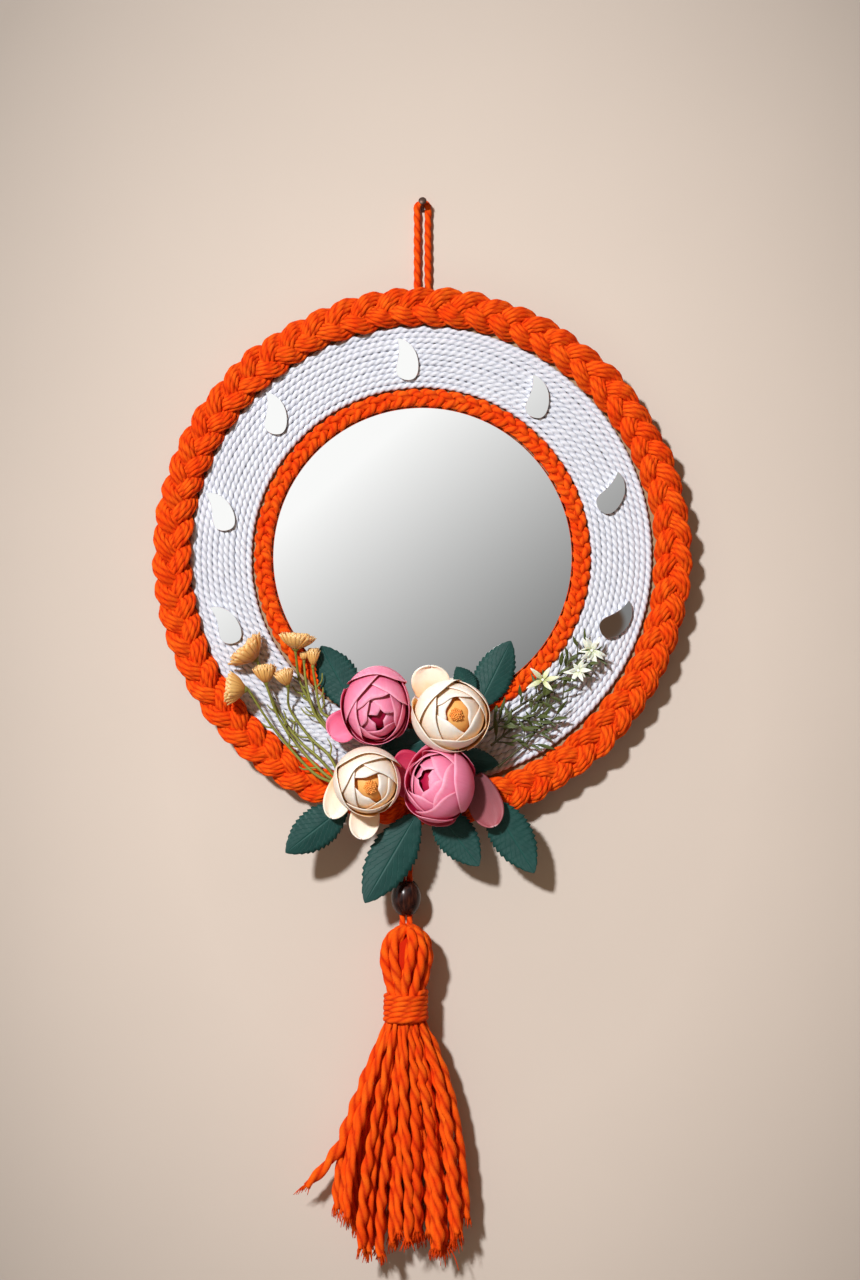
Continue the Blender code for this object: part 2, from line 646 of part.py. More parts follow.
# Stems of the button flowers, root to head, then the head's rim radius and length
BUTTON_FLOWERS = (
    # name, points as (across, depth, up), rim radius, head length
    ("button_flower_1", ((-51.0, 21.0, -100.5), (-62.0, 15.5, -91.0), (-73.0, 15.0, -75.0),
                         (-80.5, 15.2, -57.0), (-82.0, 17.5, -52.0)), 7.6 * MM, 10.0 * MM, (-0.70, 0.10, 0.70)),
    ("button_flower_2", ((-48.0, 24.5, -108.0), (-59.0, 18.8, -97.5), (-71.0, 18.5, -81.0),
                         (-77.4, 21.8, -64.0)), 5.0 * MM, 10.0 * MM, (-0.10, 0.05, 1.00)),
    ("button_flower_3", ((-46.0, 22.6, -111.5), (-56.0, 22.2, -105.5), (-74.0, 21.8, -85.0),
                         (-86.0, 27.5, -66.0)), 7.0 * MM, 11.0 * MM, (-1.00, 0.05, 0.10)),
    ("button_flower_4", ((-46.0, 18.5, -99.5), (-56.0, 15.0, -90.0), (-66.0, 15.0, -76.0),
                         (-66.5, 23.0, -65.0)), 4.3 * MM, 9.0 * MM, (-0.30, 0.15, 0.95)),
    ("button_flower_5", ((-43.0, 15.8, -88.0), (-50.7, 15.8, -80.5), (-60.6, 15.8, -63.3),
                         (-63.0, 22.5, -47.0)), 7.6 * MM, 8.5 * MM, (0.10, 0.05, 1.00)),
    ("button_flower_6", ((-43.0, 18.6, -81.0), (-50.4, 18.6, -76.7), (-53.4, 18.6, -62.0),
                         (-54.4, 20.0, -55.5)), 2.8 * MM, 9.5 * MM, (0.02, 0.05, 1.00)),
    ("button_bud", ((-46.5, 18.6, -86.5), (-53.6, 18.6, -77.9), (-57.6, 18.6, -64.0),
                    (-58.9, 18.4, -52.5)), 1.9 * MM, 5.0 * MM, (0.00, 0.00, 1.00)),
)

# Twigs of the right-hand sprig and its pale blossoms
TWIGS = (
    ("twig_1", ((33.0, 18.0, -86.4), (44.0, 15.0, -77.4), (56.5, 15.4, -68.9),
                (69.0, 15.2, -58.9), (84.0, 16.0, -46.4))),
    ("twig_2", ((34.0, 18.0, -93.9), (46.5, 15.0, -84.4), (59.0, 15.0, -76.4), (72.5, 16.0, -69.4))),
    ("twig_3", ((37.5, 18.0, -104.4), (51.0, 15.0, -93.4), (59.0, 15.0, -84.4), (69.5, 15.5, -82.4))),
)
BLOSSOMS = (
    # name, across, depth, up, radius
    ("blossom_1", 57.2 * MM, 19.5 * MM, -61.2 * MM, 8.0 * MM),
    ("blossom_2", 77.5 * MM, 19.0 * MM, -57.2 * MM, 5.5 * MM),
    ("blossom_3", 84.2 * MM, 19.5 * MM, -45.0 * MM, 6.0 * MM),
)


def button_flower(name, stem, rim, head_length, aim, material, group):
    """A stem that opens at its end into a fan-shaped head."""
    stem_radius = 0.9 * MM
    points = smooth_route([ring_point(a * MM, d * MM, u * MM) for a, d, u in stem], 9.0 * MM)
    aim = Vector((aim[0], -aim[1], aim[2])).normalized()
    radii = [1.0] * len(points)
    neck = points[-1]
    for share, size in ((0.25, 0.45), (0.62, 0.85), (1.0, 1.0), (1.1, 0.8)):
        points.append(neck + aim * head_length * share)
        radii.append(size * rim / stem_radius)
    tube(name, points, stem_radius, 1, material, group, radii)


def blossom(name, across, depth, up, radius, material, group):
    """A small five-pointed blossom, cut flat."""
    curve = bpy.data.curves.new(name, "CURVE")
    curve.dimensions = "2D"
    curve.fill_mode = "BOTH"
    curve.extrude = SHEET_THICK / 2
    spline = curve.splines.new("POLY")
    spline.points.add(9)
    for index in range(10):
        angle = math.tau * index / 10 + math.radians(18.0)
        reach = radius if index % 2 == 0 else radius * 0.42
        spline.points[index].co = (reach * math.cos(angle), reach * math.sin(angle), 0.0, 1.0)
    spline.use_cyclic_u = True
    add_part(name, curve, material, group, face_on(across, depth, up - RING_DROP))


def main():
    clear_scene()
    parts = make_collection("mirror_work_wall_hanging")
    cutters = make_collection("cutters")
    orange = make_material("orange_cord", ORANGE, 0.8)
    white = make_material("white_cord", WHITE, 0.85)
    board = make_material("board", BOARD_BROWN, 0.8)
    glass = make_material("mirror", SILVER, 0.03, 1.0)
    pink = make_material("pink_petals", PINK, 0.6)
    cream = make_material("cream_petals", CREAM, 0.6)
    green = make_material("leaves", LEAF_GREEN, 0.6)
    ochre = make_material("button_flowers", OCHRE, 0.7)
    stem = make_material("stems", STEM_GREEN, 0.6)
    pale = make_material("blossoms", PALE, 0.6)
    wood = make_material("bead_wood", BEAD_BROWN, 0.2)
    steel = make_material("nail_metal", NAIL_BROWN, 0.4, 0.8)

    disc("backing_board", BOARD_RADIUS, BOARD_BACK, BOARD_THICK, 64, 0.0, board, parts)
    disc("round_mirror", MIRROR_RADIUS, GLUED_BACK, MIRROR_THICK, 64, 0.0, glass, parts)
    braid_ring("inner_braid", INNER_BRAID_RADIUS, INNER_BRAID_HALF_WIDTH, INNER_BRAID_THICK,
               INNER_BRAID_LOBES, 2, 6, orange, parts)
    white_band(white, parts)
    braid_ring("outer_braid", OUTER_BRAID_RADIUS, OUTER_BRAID_HALF_WIDTH, OUTER_BRAID_THICK,
               OUTER_BRAID_LOBES, 4, 8, orange, parts)
    paisley_mirrors(glass, parts)
    nail(steel, parts, cutters)
    hanging_cord(orange, parts)
    tassel_cords(orange, parts)
    bead(wood, parts)
    tassel(orange, parts)
    tassel_wrap(orange, parts)
    for name, across, up, depth, half_width, half_height, eye_across, eye_up, slip in FLOWER_HEADS:
        rest = INNER_BRAID_FRONT + GAP if up > -95.0 * MM else WHITE_FRONT + GAP
        flower_head(name, across, up, depth, half_width, half_height, eye_across, eye_up,
                    slip, rest, pink if name.startswith("pink") else cream, parts)
    for name, base, tip, width, rows in LEAVES:
        sheet(name, base, tip, width, rows, 2, leaf_half_width, leaf_lift, green, parts)
    for name, base, tip, width in PINK_PETALS:
        sheet(name, base, tip, width, 4, 4, petal_half_width, petal_lift, pink, parts)
    for name, base, tip, width in CREAM_PETALS:
        sheet(name, base, tip, width, 4, 4, petal_half_width, petal_lift, cream, parts)
    for name, points, rim, head_length, aim in BUTTON_FLOWERS:
        button_flower(name, points, rim, head_length, aim, ochre, parts)
    for name, points in TWIGS:
        route = smooth_route([ring_point(a * MM, d * MM, u * MM) for a, d, u in points], 8.0 * MM)
        tube(name, route, 1.1 * MM, 1, stem, parts)
    for name, across, depth, up, radius in BLOSSOMS:
        blossom(name, across, depth, up, radius, pale, parts)


main()
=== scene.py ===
"""Looks of the mirror work wall hanging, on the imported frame.

Metres, +Z up, the wall is the plane Y = 0 and the piece faces -Y.
"""

import math
import random

import bmesh
import bpy
import numpy as np
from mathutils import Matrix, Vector


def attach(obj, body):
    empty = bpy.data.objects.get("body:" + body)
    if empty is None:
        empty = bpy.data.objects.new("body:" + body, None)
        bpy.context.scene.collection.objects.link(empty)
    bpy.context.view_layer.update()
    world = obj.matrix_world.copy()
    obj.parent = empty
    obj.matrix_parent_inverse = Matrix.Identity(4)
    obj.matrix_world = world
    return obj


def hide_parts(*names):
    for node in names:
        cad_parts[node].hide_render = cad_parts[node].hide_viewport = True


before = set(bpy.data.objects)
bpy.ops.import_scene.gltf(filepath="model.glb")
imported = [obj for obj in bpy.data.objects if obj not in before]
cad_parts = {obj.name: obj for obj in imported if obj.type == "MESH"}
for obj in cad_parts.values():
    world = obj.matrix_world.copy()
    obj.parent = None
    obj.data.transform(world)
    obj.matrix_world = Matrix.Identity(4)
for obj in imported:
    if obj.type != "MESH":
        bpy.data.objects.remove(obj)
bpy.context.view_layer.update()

MM = 0.001
RING_DROP = 174.6 * MM
GLUED_BACK = 8.3 * MM
CORD_RADIUS = 1.6 * MM
FRONT = np.array((0.0, -1.0, 0.0))
GOLDEN_TURN = math.pi * (3.0 - math.sqrt(5.0))


# Camera, light and surroundings

def set_camera():
    """A frontal camera that frames 430 by 640 mm of the wall."""
    distance = 1.5
    data = bpy.data.cameras.new("camera")
    data.sensor_fit = "VERTICAL"
    data.sensor_height = 36.0
    data.lens = 36.0 * (distance - 0.010) / 0.640
    data.clip_start = 0.01
    camera = bpy.data.objects.new("camera", data)
    bpy.context.scene.collection.objects.link(camera)
    camera.location = (3.75 * MM, -distance, -216.0 * MM)
    camera.rotation_euler = (math.radians(90.0), 0.0, 0.0)
    bpy.context.scene.camera = camera


def tree_of(owner):
    owner.use_nodes = True
    owner.node_tree.nodes.clear()
    return owner.node_tree


def node(tree, kind, inputs=(), **settings):
    """Add a shader node, set its properties, and feed its inputs by name or number."""
    made = tree.nodes.new(kind)
    for key, value in settings.items():
        setattr(made, key, value)
    for key, value in dict(inputs).items():
        socket = made.inputs[key]
        if isinstance(value, bpy.types.NodeSocket):
            tree.links.new(value, socket)
        else:
            socket.default_value = value
    return made


def maths(tree, operation, a, b=0.0, c=0.0, clamp=False):
    made = node(tree, "ShaderNodeMath", {0: a, 1: b, 2: c}, operation=operation, use_clamp=clamp)
    return made.outputs[0]


def scaled(tree, value, factor, offset):
    """A value times a factor plus an offset, kept between 0 and 1."""
    return maths(tree, "MULTIPLY_ADD", value, factor, offset, clamp=True)


def noise(tree, where, scale, detail=3.0, **more):
    inputs = {"Vector": where, "Scale": scale, "Detail": detail, **more}
    return node(tree, "ShaderNodeTexNoise", inputs).outputs["Fac"]


def bump(tree, height, strength, distance):
    inputs = {"Height": height, "Strength": strength, "Distance": distance}
    return node(tree, "ShaderNodeBump", inputs).outputs[0]


def object_place(tree):
    return node(tree, "ShaderNodeTexCoord").outputs["Object"]


def stretched(tree, where, factors):
    return node(tree, "ShaderNodeVectorMath", {0: where, 1: factors}, operation="MULTIPLY").outputs[0]


def mix(tree, factor, a, b, blend="MIX"):
    made = node(tree, "ShaderNodeMix", data_type="RGBA", blend_type=blend)
    for index, value in ((0, factor), (6, a), (7, b)):
        if isinstance(value, bpy.types.NodeSocket):
            tree.links.new(value, made.inputs[index])
        elif index == 0:
            made.inputs[index].default_value = value
        else:
            made.inputs[index].default_value = (*value[:3], 1.0)
    return made.outputs[2]


def ramp(tree, factor, stops):
    made = node(tree, "ShaderNodeValToRGB", {"Fac": factor})
    elements = made.color_ramp.elements
    while len(elements) < len(stops):
        elements.new(0.5)
    for element, (place, colour) in zip(elements, stops):
        element.position = place
        element.color = (*colour, 1.0)
    return made.outputs["Color"]


def set_world():
    """A soft studio: bright to the upper left and grey to the lower right of the camera,
    with two small dark places that the right-hand paisley mirrors reflect."""
    level_ahead, across_fall, up_rise = 0.67434, -3.4, 4.1
    darkest, brightest = 0.50, 1.0
    dark_places = (((0.0590, -1.0, 0.0060), 0.0062, (0.095, 0.055, 0.034)),
                   ((0.0715, -1.0, 0.0475), 0.0035, (0.02, 0.02, 0.018)))
    warm_shade = (0.265, 0.165, 0.072)
    world = bpy.data.worlds.new("studio")
    bpy.context.scene.world = world
    tree = tree_of(world)
    look = node(tree, "ShaderNodeTexCoord").outputs["Generated"]
    parts = node(tree, "ShaderNodeSeparateXYZ", {0: look})
    across = maths(tree, "MULTIPLY", parts.outputs["X"], across_fall)
    both = maths(tree, "MULTIPLY_ADD", parts.outputs["Z"], up_rise, across)
    level = maths(tree, "MAXIMUM", maths(tree, "ADD", both, level_ahead), darkest)
    grey = maths(tree, "POWER", maths(tree, "MINIMUM", level, brightest), 2.2)
    colour = mix(tree, grey, (0.0, 0.0, 0.0), (1.0, 0.995, 0.985))
    for place, radius, dark in dark_places:
        towards = tuple(Vector(place).normalized())
        away = node(tree, "ShaderNodeVectorMath", {0: look, 1: towards}, operation="DISTANCE")
        inside = node(tree, "ShaderNodeMapRange", {0: away.outputs["Value"], 1: radius * 1.14,
                                                   2: radius * 0.86, 3: 0.0, 4: 1.0})
        colour = mix(tree, inside.outputs[0], colour, dark)
    on_matt = node(tree, "ShaderNodeLightPath").outputs["Is Diffuse Ray"]
    colour = mix(tree, on_matt, colour, mix(tree, 1.0, colour, warm_shade, "MULTIPLY"))
    shine = node(tree, "ShaderNodeBackground", {"Color": colour, "Strength": 1.0})
    node(tree, "ShaderNodeOutputWorld", {"Surface": shine.outputs[0]})


def set_lights():
    """One key light from the upper left."""
    target = Vector((0.0, 0.0, -0.22))
    towards_key = Vector((-0.43, -1.0, 0.46))
    data = bpy.data.lights.new("key", "AREA")
    data.shape = "DISK"
    data.size = 0.26
    data.energy = 116.0
    data.color = (0.960, 0.985, 1.0)
    key = bpy.data.objects.new("key", data)
    bpy.context.scene.collection.objects.link(key)
    key.location = target + towards_key * 2.6
    key.rotation_euler = (target - key.location).to_track_quat("-Z", "Y").to_euler()


def stage_paint_with_painted_falloff(name):
    """Plain pale paint, with painted shade that darkens it away from the middle of the picture for the
    light's falloff.
    It shows on its front only, so that a view from behind sees the piece."""
    pale = (0.605, 0.520, 0.455)
    middle_up, half_wide, half_high = -0.216, 0.21, 0.32
    material, tree = new_material(name)
    surface = node(tree, "ShaderNodeNewGeometry")
    where = surface.outputs["Position"]
    grain = noise(tree, where, 9.0, 6.0)
    tint = mix(tree, grain, [c * 0.97 for c in pale], [c * 1.03 for c in pale])
    # Painted shade: darker with distance from the middle of the picture, a little more so to the upper
    # left.
    parts = node(tree, "ShaderNodeSeparateXYZ", {0: where})
    across = maths(tree, "DIVIDE", parts.outputs["X"], half_wide)
    lift = maths(tree, "DIVIDE", maths(tree, "SUBTRACT", parts.outputs["Z"], middle_up), half_high)
    off = maths(tree, "MULTIPLY_ADD", lift, lift, maths(tree, "MULTIPLY", across, across))
    slope = maths(tree, "MULTIPLY", maths(tree, "SUBTRACT", lift, across), 0.04)
    fade = scaled(tree, off, 0.25, maths(tree, "ADD", slope, -0.12))
    tint = mix(tree, maths(tree, "MINIMUM", fade, 0.45), tint, (0.0, 0.0, 0.0))
    skin = node(tree, "ShaderNodeBsdfPrincipled", {"Base Color": tint, "Roughness": 0.9,
                                                   "Normal": bump(tree, grain, 0.05, 0.002)})
    clear = node(tree, "ShaderNodeBsdfTransparent")
    one_sided = node(tree, "ShaderNodeMixShader", {0: surface.outputs["Backfacing"], 1: skin.outputs[0],
                                                   2: clear.outputs[0]})
    node(tree, "ShaderNodeOutputMaterial", {"Surface": one_sided.outputs[0]})
    return material


def set_stage():
    """A plain pale wall behind the piece and a plain pale floor below it, both darkened by painted falloff
    shade.
    """
    half = 3.0
    corners = [(-half, -half, 0.0), (half, -half, 0.0), (half, half, 0.0), (-half, half, 0.0)]
    for name, place, tilt in (("stage_wall", (0.0, 0.4 * MM, 0.6), 90.0),
                              ("stage_floor", (0.0, -3.0, -1.4), 0.0)):
        mesh = bpy.data.meshes.new(name)
        mesh.from_pydata(corners, [], [(0, 1, 2, 3)])
        mesh.materials.append(stage_paint_with_painted_falloff(name))
        plane = bpy.data.objects.new(name, mesh)
        bpy.context.scene.collection.objects.link(plane)
        plane.location = place
        plane.rotation_euler = (math.radians(tilt), 0.0, 0.0)


# Materials

def new_material(name):
    material = bpy.data.materials.new(name)
    return material, tree_of(material)


def finish_material(material, colour, roughness, normal=None, **more):
    tree = material.node_tree
    inputs = {"Base Color": colour, "Roughness": roughness}
    if normal is not None:
        inputs["Normal"] = normal
    for key, value in more.items():
        inputs[key.replace("_", " ")] = value
    skin = node(tree, "ShaderNodeBsdfPrincipled", inputs)
    node(tree, "ShaderNodeOutputMaterial", {"Surface": skin.outputs[0]})
    return material


def cotton(name, base, light, deep):
    """Twisted cotton: fibres along the plies, tone varying along the cord, and painted shade in the grooves
    between the plies.
    """
    material, tree = new_material(name)
    uv = node(tree, "ShaderNodeUVMap", uv_map="cord").outputs[0]
    fibres = noise(tree, stretched(tree, uv, (120.0, 9.0, 1.0)), 1.0, Roughness=0.7)
    hairs = noise(tree, stretched(tree, uv, (260.0, 26.0, 1.0)), 1.0, 2.0)
    where = object_place(tree)
    groove = node(tree, "ShaderNodeAttribute", attribute_name="groove").outputs["Fac"]
    tone = mix(tree, scaled(tree, noise(tree, where, 130.0), 2.2, -0.7), base, light)
    tone = mix(tree, scaled(tree, noise(tree, where, 28.0, 2.0), 0.9, -0.28), tone, base)
    tone = mix(tree, scaled(tree, fibres, 1.0, -0.35), tone, deep)
    # Painted shade: the deeper a point lies in a groove, the nearer its tone goes to the deep tone.
    tone = mix(tree, maths(tree, "MULTIPLY", groove, 0.9), tone, deep)
    height = maths(tree, "MULTIPLY_ADD", hairs, 0.5, fibres)
    return finish_material(material, tone, 0.9, bump(tree, height, 0.6, 0.0005), Specular_IOR_Level=0.12)


def glass_mirror():
    """Silvered glass with the faintest unevenness in its polish."""
    material, tree = new_material("silvered_glass")
    smear = noise(tree, object_place(tree), 22.0, 4.0)
    rough = maths(tree, "MULTIPLY_ADD", smear, 0.016, 0.006)
    tint = mix(tree, smear, (0.935, 0.945, 0.945), (0.955, 0.96, 0.96))
    return finish_material(material, tint, rough, Metallic=1.0)


def plain_wood_board():
    """Pale brown fibreboard with fine flecks."""
    material, tree = new_material("fibreboard")
    where = object_place(tree)
    fleck = noise(tree, where, 900.0, 4.0)
    cloud = noise(tree, where, 30.0)
    tone = mix(tree, fleck, (0.30, 0.17, 0.085), (0.47, 0.31, 0.18))
    tone = mix(tree, maths(tree, "MULTIPLY", cloud, 0.4), tone, (0.25, 0.14, 0.07))
    return finish_material(material, tone, 0.85, bump(tree, fleck, 0.3, 0.0003))


def dark_bead_wood():
    """Stained, lacquered wood with grain running down the bead."""
    material, tree = new_material("lacquered_wood")
    grain = noise(tree, stretched(tree, object_place(tree), (1.0, 1.0, 0.12)), 900.0, 4.0)
    tone = ramp(tree, grain, ((0.35, (0.008, 0.002, 0.002)), (0.55, (0.030, 0.007, 0.004)),
                              (0.75, (0.075, 0.020, 0.009))))
    return finish_material(material, tone, 0.24, bump(tree, grain, 0.08, 0.0003), Specular_IOR_Level=0.22)


def browned_steel():
    """Wire with a brown, uneven skin."""
    material, tree = new_material("browned_steel")
    spots = noise(tree, object_place(tree), 1400.0)
    tone = mix(tree, spots, (0.035, 0.020, 0.016), (0.13, 0.07, 0.05))
    return finish_material(material, tone, maths(tree, "MULTIPLY_ADD", spots, 0.3, 0.3), Metallic=0.8)


def petal_cloth(name, heart, middle, edge, rim, inside, vein):
    """Pressed petal cloth: tone from heart to rim, fine veins, and another tone on inner faces."""
    material, tree = new_material(name)
    uv = node(tree, "ShaderNodeUVMap", uv_map="leaf").outputs[0]
    parts = node(tree, "ShaderNodeSeparateXYZ", {0: uv})
    lift = maths(tree, "MULTIPLY_ADD", noise(tree, object_place(tree), 190.0), 0.30, -0.15)
    along = maths(tree, "ADD", parts.outputs["Y"], lift)
    tone = ramp(tree, along, ((0.10, heart), (0.42, middle), (0.88, edge), (0.985, rim)))
    veins = noise(tree, stretched(tree, uv, (34.0, 1.6, 1.0)), 1.0)
    faint = scaled(tree, veins, 2.4, -1.0)
    tone = mix(tree, maths(tree, "MULTIPLY", faint, vein), tone, middle)
    inner = node(tree, "ShaderNodeAttribute", attribute_name="groove").outputs["Fac"]
    tone = mix(tree, inner, tone, inside)
    return finish_material(material, tone, 0.55, bump(tree, veins, 0.25, 0.0006), Subsurface_Weight=0.2,
                           Subsurface_Radius=(0.003, 0.0015, 0.001), Subsurface_Scale=0.5)


def leaf_cloth():
    """Dark teal pressed leaf with a paler midrib and side veins."""
    material, tree = new_material("teal_leaf")
    uv = node(tree, "ShaderNodeUVMap", uv_map="leaf").outputs[0]
    parts = node(tree, "ShaderNodeSeparateXYZ", {0: uv})
    off = maths(tree, "ABSOLUTE", maths(tree, "MULTIPLY_ADD", parts.outputs["X"], 2.0, -1.0))
    slant = maths(tree, "MULTIPLY_ADD", off, -0.42, parts.outputs["Y"])
    wave = maths(tree, "PINGPONG", maths(tree, "MULTIPLY", slant, 9.0), 0.5)
    side = scaled(tree, wave, -14.0, 1.0)
    rib = scaled(tree, off, -16.0, 1.0)
    line = maths(tree, "MAXIMUM", maths(tree, "MULTIPLY", side, 0.5), rib)
    cloud = noise(tree, object_place(tree), 120.0, 4.0)
    tone = mix(tree, cloud, (0.003, 0.030, 0.027), (0.008, 0.062, 0.052))
    tone = mix(tree, maths(tree, "MULTIPLY", line, 0.55), tone, (0.014, 0.090, 0.074))
    height = maths(tree, "SUBTRACT", maths(tree, "MULTIPLY", cloud, 0.25), line)
    return finish_material(material, tone, 0.6, bump(tree, height, 0.5, 0.0006), Specular_IOR_Level=0.3)


def stem_skin(name, low, high):
    """Matt coloured plastic of stems, twigs and the sprig's leaves."""
    material, tree = new_material(name)
    cloud = noise(tree, object_place(tree), 260.0)
    return finish_material(material, mix(tree, cloud, low, high), 0.6, bump(tree, cloud, 0.25, 0.0003))


# Mesh helpers

def piece(name, mesh, material, slot, *nodes):
    """Link a piece, ride it on the body, and hide the CAD nodes that it stands for."""
    made = bpy.data.objects.new(name, mesh)
    bpy.context.scene.collection.objects.link(made)
    mesh.materials.append(material)
    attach(made, "root")
    if nodes:
        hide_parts(*nodes)
    return made


def mesh_from(name, verts, faces, uvs=None, uv_name="cord", groove=None, smooth=True):
    """A mesh from arrays. uvs are per vertex."""
    mesh = bpy.data.meshes.new(name)
    mesh.from_pydata([tuple(v) for v in verts], [], [tuple(int(i) for i in f) for f in faces])
    if smooth:
        mesh.shade_smooth()
    if uvs is not None:
        layer = mesh.uv_layers.new(name=uv_name)
        index = np.zeros(len(mesh.loops), dtype=np.int32)
        mesh.loops.foreach_get("vertex_index", index)
        layer.data.foreach_set("uv", np.asarray(uvs, dtype=np.float32)[index].ravel())
    if groove is not None:
        attribute = mesh.attributes.new("groove", "FLOAT", "POINT")
        attribute.data.foreach_set("value", np.asarray(groove, dtype=np.float32))
    mesh.update()
    return mesh


def ring_faces(rows, sides, closed=False):
    """Four-sided faces between rows of points that each run once round a form."""
    faces = []
    for row in range(rows if closed else rows - 1):
        low = row * sides
        high = (row + 1) % rows * sides
        for k in range(sides):
            k2 = (k + 1) % sides
            faces.append((low + k, low + k2, high + k2, high + k))
    return faces


def end_faces(rows, sides):
    """The two many-sided faces that close an open form."""
    return [tuple(range(sides - 1, -1, -1)), tuple(range((rows - 1) * sides, rows * sides))]


def outward(mesh, weld=False):
    """Turn all faces outward, after welding the points that meet on the axis if that is asked for."""
    shape = bmesh.new()
    shape.from_mesh(mesh)
    if weld:
        bmesh.ops.remove_doubles(shape, verts=shape.verts, dist=0.000002)
        bmesh.ops.dissolve_degenerate(shape, dist=0.000001, edges=shape.edges)
    bmesh.ops.recalc_face_normals(shape, faces=shape.faces)
    shape.to_mesh(mesh)
    shape.free()


class Batch:
    """Collects vertices, faces, uvs and grooves of many shapes into one mesh."""

    def __init__(self):
        self.verts = []
        self.faces = []
        self.uvs = []
        self.groove = []
        self.count = 0

    def add(self, verts, faces, uvs, groove=None):
        self.verts.append(verts)
        self.faces.extend([[i + self.count for i in face] for face in faces])
        self.uvs.append(uvs)
        self.groove.append(np.zeros(len(verts)) if groove is None else groove)
        self.count += len(verts)

    def mesh(self, name, uv_name="cord"):
        return mesh_from(name, np.concatenate(self.verts), self.faces, np.concatenate(self.uvs),
                         uv_name, np.concatenate(self.groove))


def full_turn(count):
    """Evenly spaced angles once round."""
    return np.arange(count) / count * math.tau


def unit(vectors):
    """Each row at length 1."""
    return vectors / np.linalg.norm(vectors, axis=1)[:, None]


def ring_path(reach, turn, depth):
    """Points round the ring's middle, at a distance from it and at a depth before the wall."""
    away = np.broadcast_to(-depth, turn.shape)
    return np.stack([reach * np.cos(turn), away, reach * np.sin(turn) - RING_DROP], axis=1)


def catmull(points, spacing):
    """A smooth curve through points, sampled about a spacing apart."""
    route = np.asarray(points, dtype=float)
    ends = np.vstack([2 * route[0] - route[1], route, 2 * route[-1] - route[-2]])
    result = []
    for before, start, stop, after in zip(ends, ends[1:], ends[2:], ends[3:]):
        pieces = max(1, round(np.linalg.norm(stop - start) / spacing))
        t = (np.arange(pieces) / pieces)[:, None]
        result.append(0.5 * (2 * start + (stop - before) * t
                             + (2 * before - 5 * start + 4 * stop - after) * t ** 2
                             + (3 * start - before - 3 * stop + after) * t ** 3))
    result.append(route[-1:])
    return np.vstack(result)


def frames(path, closed, up=FRONT):
    """Tangent, up and side vectors along a path, up being kept towards the viewer."""
    if closed:
        tangent = np.roll(path, -1, axis=0) - np.roll(path, 1, axis=0)
    else:
        tangent = np.gradient(path, axis=0)
    tangent = unit(tangent)
    rise = unit(up - (tangent @ up)[:, None] * tangent)
    side = np.cross(tangent, rise)
    return tangent, rise, side


def cord_tube(batch, path, cord_radius, closed=False, sides=10, plies=2, depth=0.25, pitch=12.0 * MM,
              flat=1.0, phase=0.0, wobble=0.0, seed=0, up=FRONT):
    """A twisted cord: a tube whose section has one lobe a ply and turns along the path."""
    count = len(path)
    _, rise, side = frames(path, closed, up)
    steps = np.linalg.norm(np.roll(path, -1, axis=0) - path, axis=1)
    along = np.concatenate([[0.0], np.cumsum(steps[:-1])])
    if closed:
        total = steps.sum()
        pitch = total / max(1, round(total / pitch))
    radius = np.broadcast_to(np.asarray(cord_radius, dtype=float), (count,))
    if wobble:
        knots = np.random.default_rng(seed).normal(size=max(4, int(along[-1] / (7.0 * MM)) + 2))
        uneven = np.interp(along, np.linspace(0.0, along[-1], len(knots)), knots)
        if closed:
            fade = np.minimum(1.0, np.minimum(along, along[-1] - along) / (10.0 * MM))
            uneven = uneven * fade
        radius = radius * (1.0 + wobble * uneven)
    around = full_turn(sides)
    spin = along / pitch * math.tau + phase
    lobe = np.abs(np.cos(plies / 2 * (around[None, :] - spin[:, None])))
    reach = radius[:, None] * (1.0 - depth + depth * lobe)
    verts = (path[:, None, :] + (reach * np.cos(around))[:, :, None] * side[:, None, :]
             + (reach * flat * np.sin(around))[:, :, None] * rise[:, None, :])
    u = np.broadcast_to(along[:, None], (count, sides))
    v = np.broadcast_to(around[None, :] / math.tau, (count, sides))
    uvs = np.stack([u * 10.0, np.abs(v * 2.0 - 1.0)], axis=2).reshape(-1, 2)
    # How deep each point lies in the groove between plies; the cotton cloths paint shade there.
    groove = (1.0 - lobe).reshape(-1) ** 1.5
    faces = ring_faces(count, sides, closed)
    if not closed:
        faces += end_faces(count, sides)
    batch.add(verts.reshape(-1, 3), faces, uvs, groove)


def turned_mesh(name, profile, sides, axis_at, axis=(0.0, 0.0, 1.0)):
    """A closed profile of (radius, height) turned about an axis."""
    profile = np.asarray(profile, dtype=float)
    turn = full_turn(sides)
    rows = len(profile)
    flat = np.stack([profile[:, None, 0] * np.cos(turn), profile[:, None, 0] * np.sin(turn),
                     np.broadcast_to(profile[:, None, 1], (rows, sides))], axis=2).reshape(-1, 3)
    spin = np.array(Vector((0.0, 0.0, 1.0)).rotation_difference(Vector(axis)).to_matrix())
    mesh = mesh_from(name, flat @ spin.T + np.asarray(axis_at), ring_faces(rows, sides, closed=True))
    outward(mesh, weld=True)
    mesh.shade_smooth()
    mesh.set_sharp_from_angle(angle=math.radians(40.0))
    return mesh


# The braids, the white cord and the loops

OUTER_BUNDLE = tuple((across * MM, up * MM) for across, up in (
    (-3.25, -0.7), (-1.8, 0.65), (0.0, 1.15), (1.8, 0.75), (3.25, -0.6), (0.3, -0.9)))


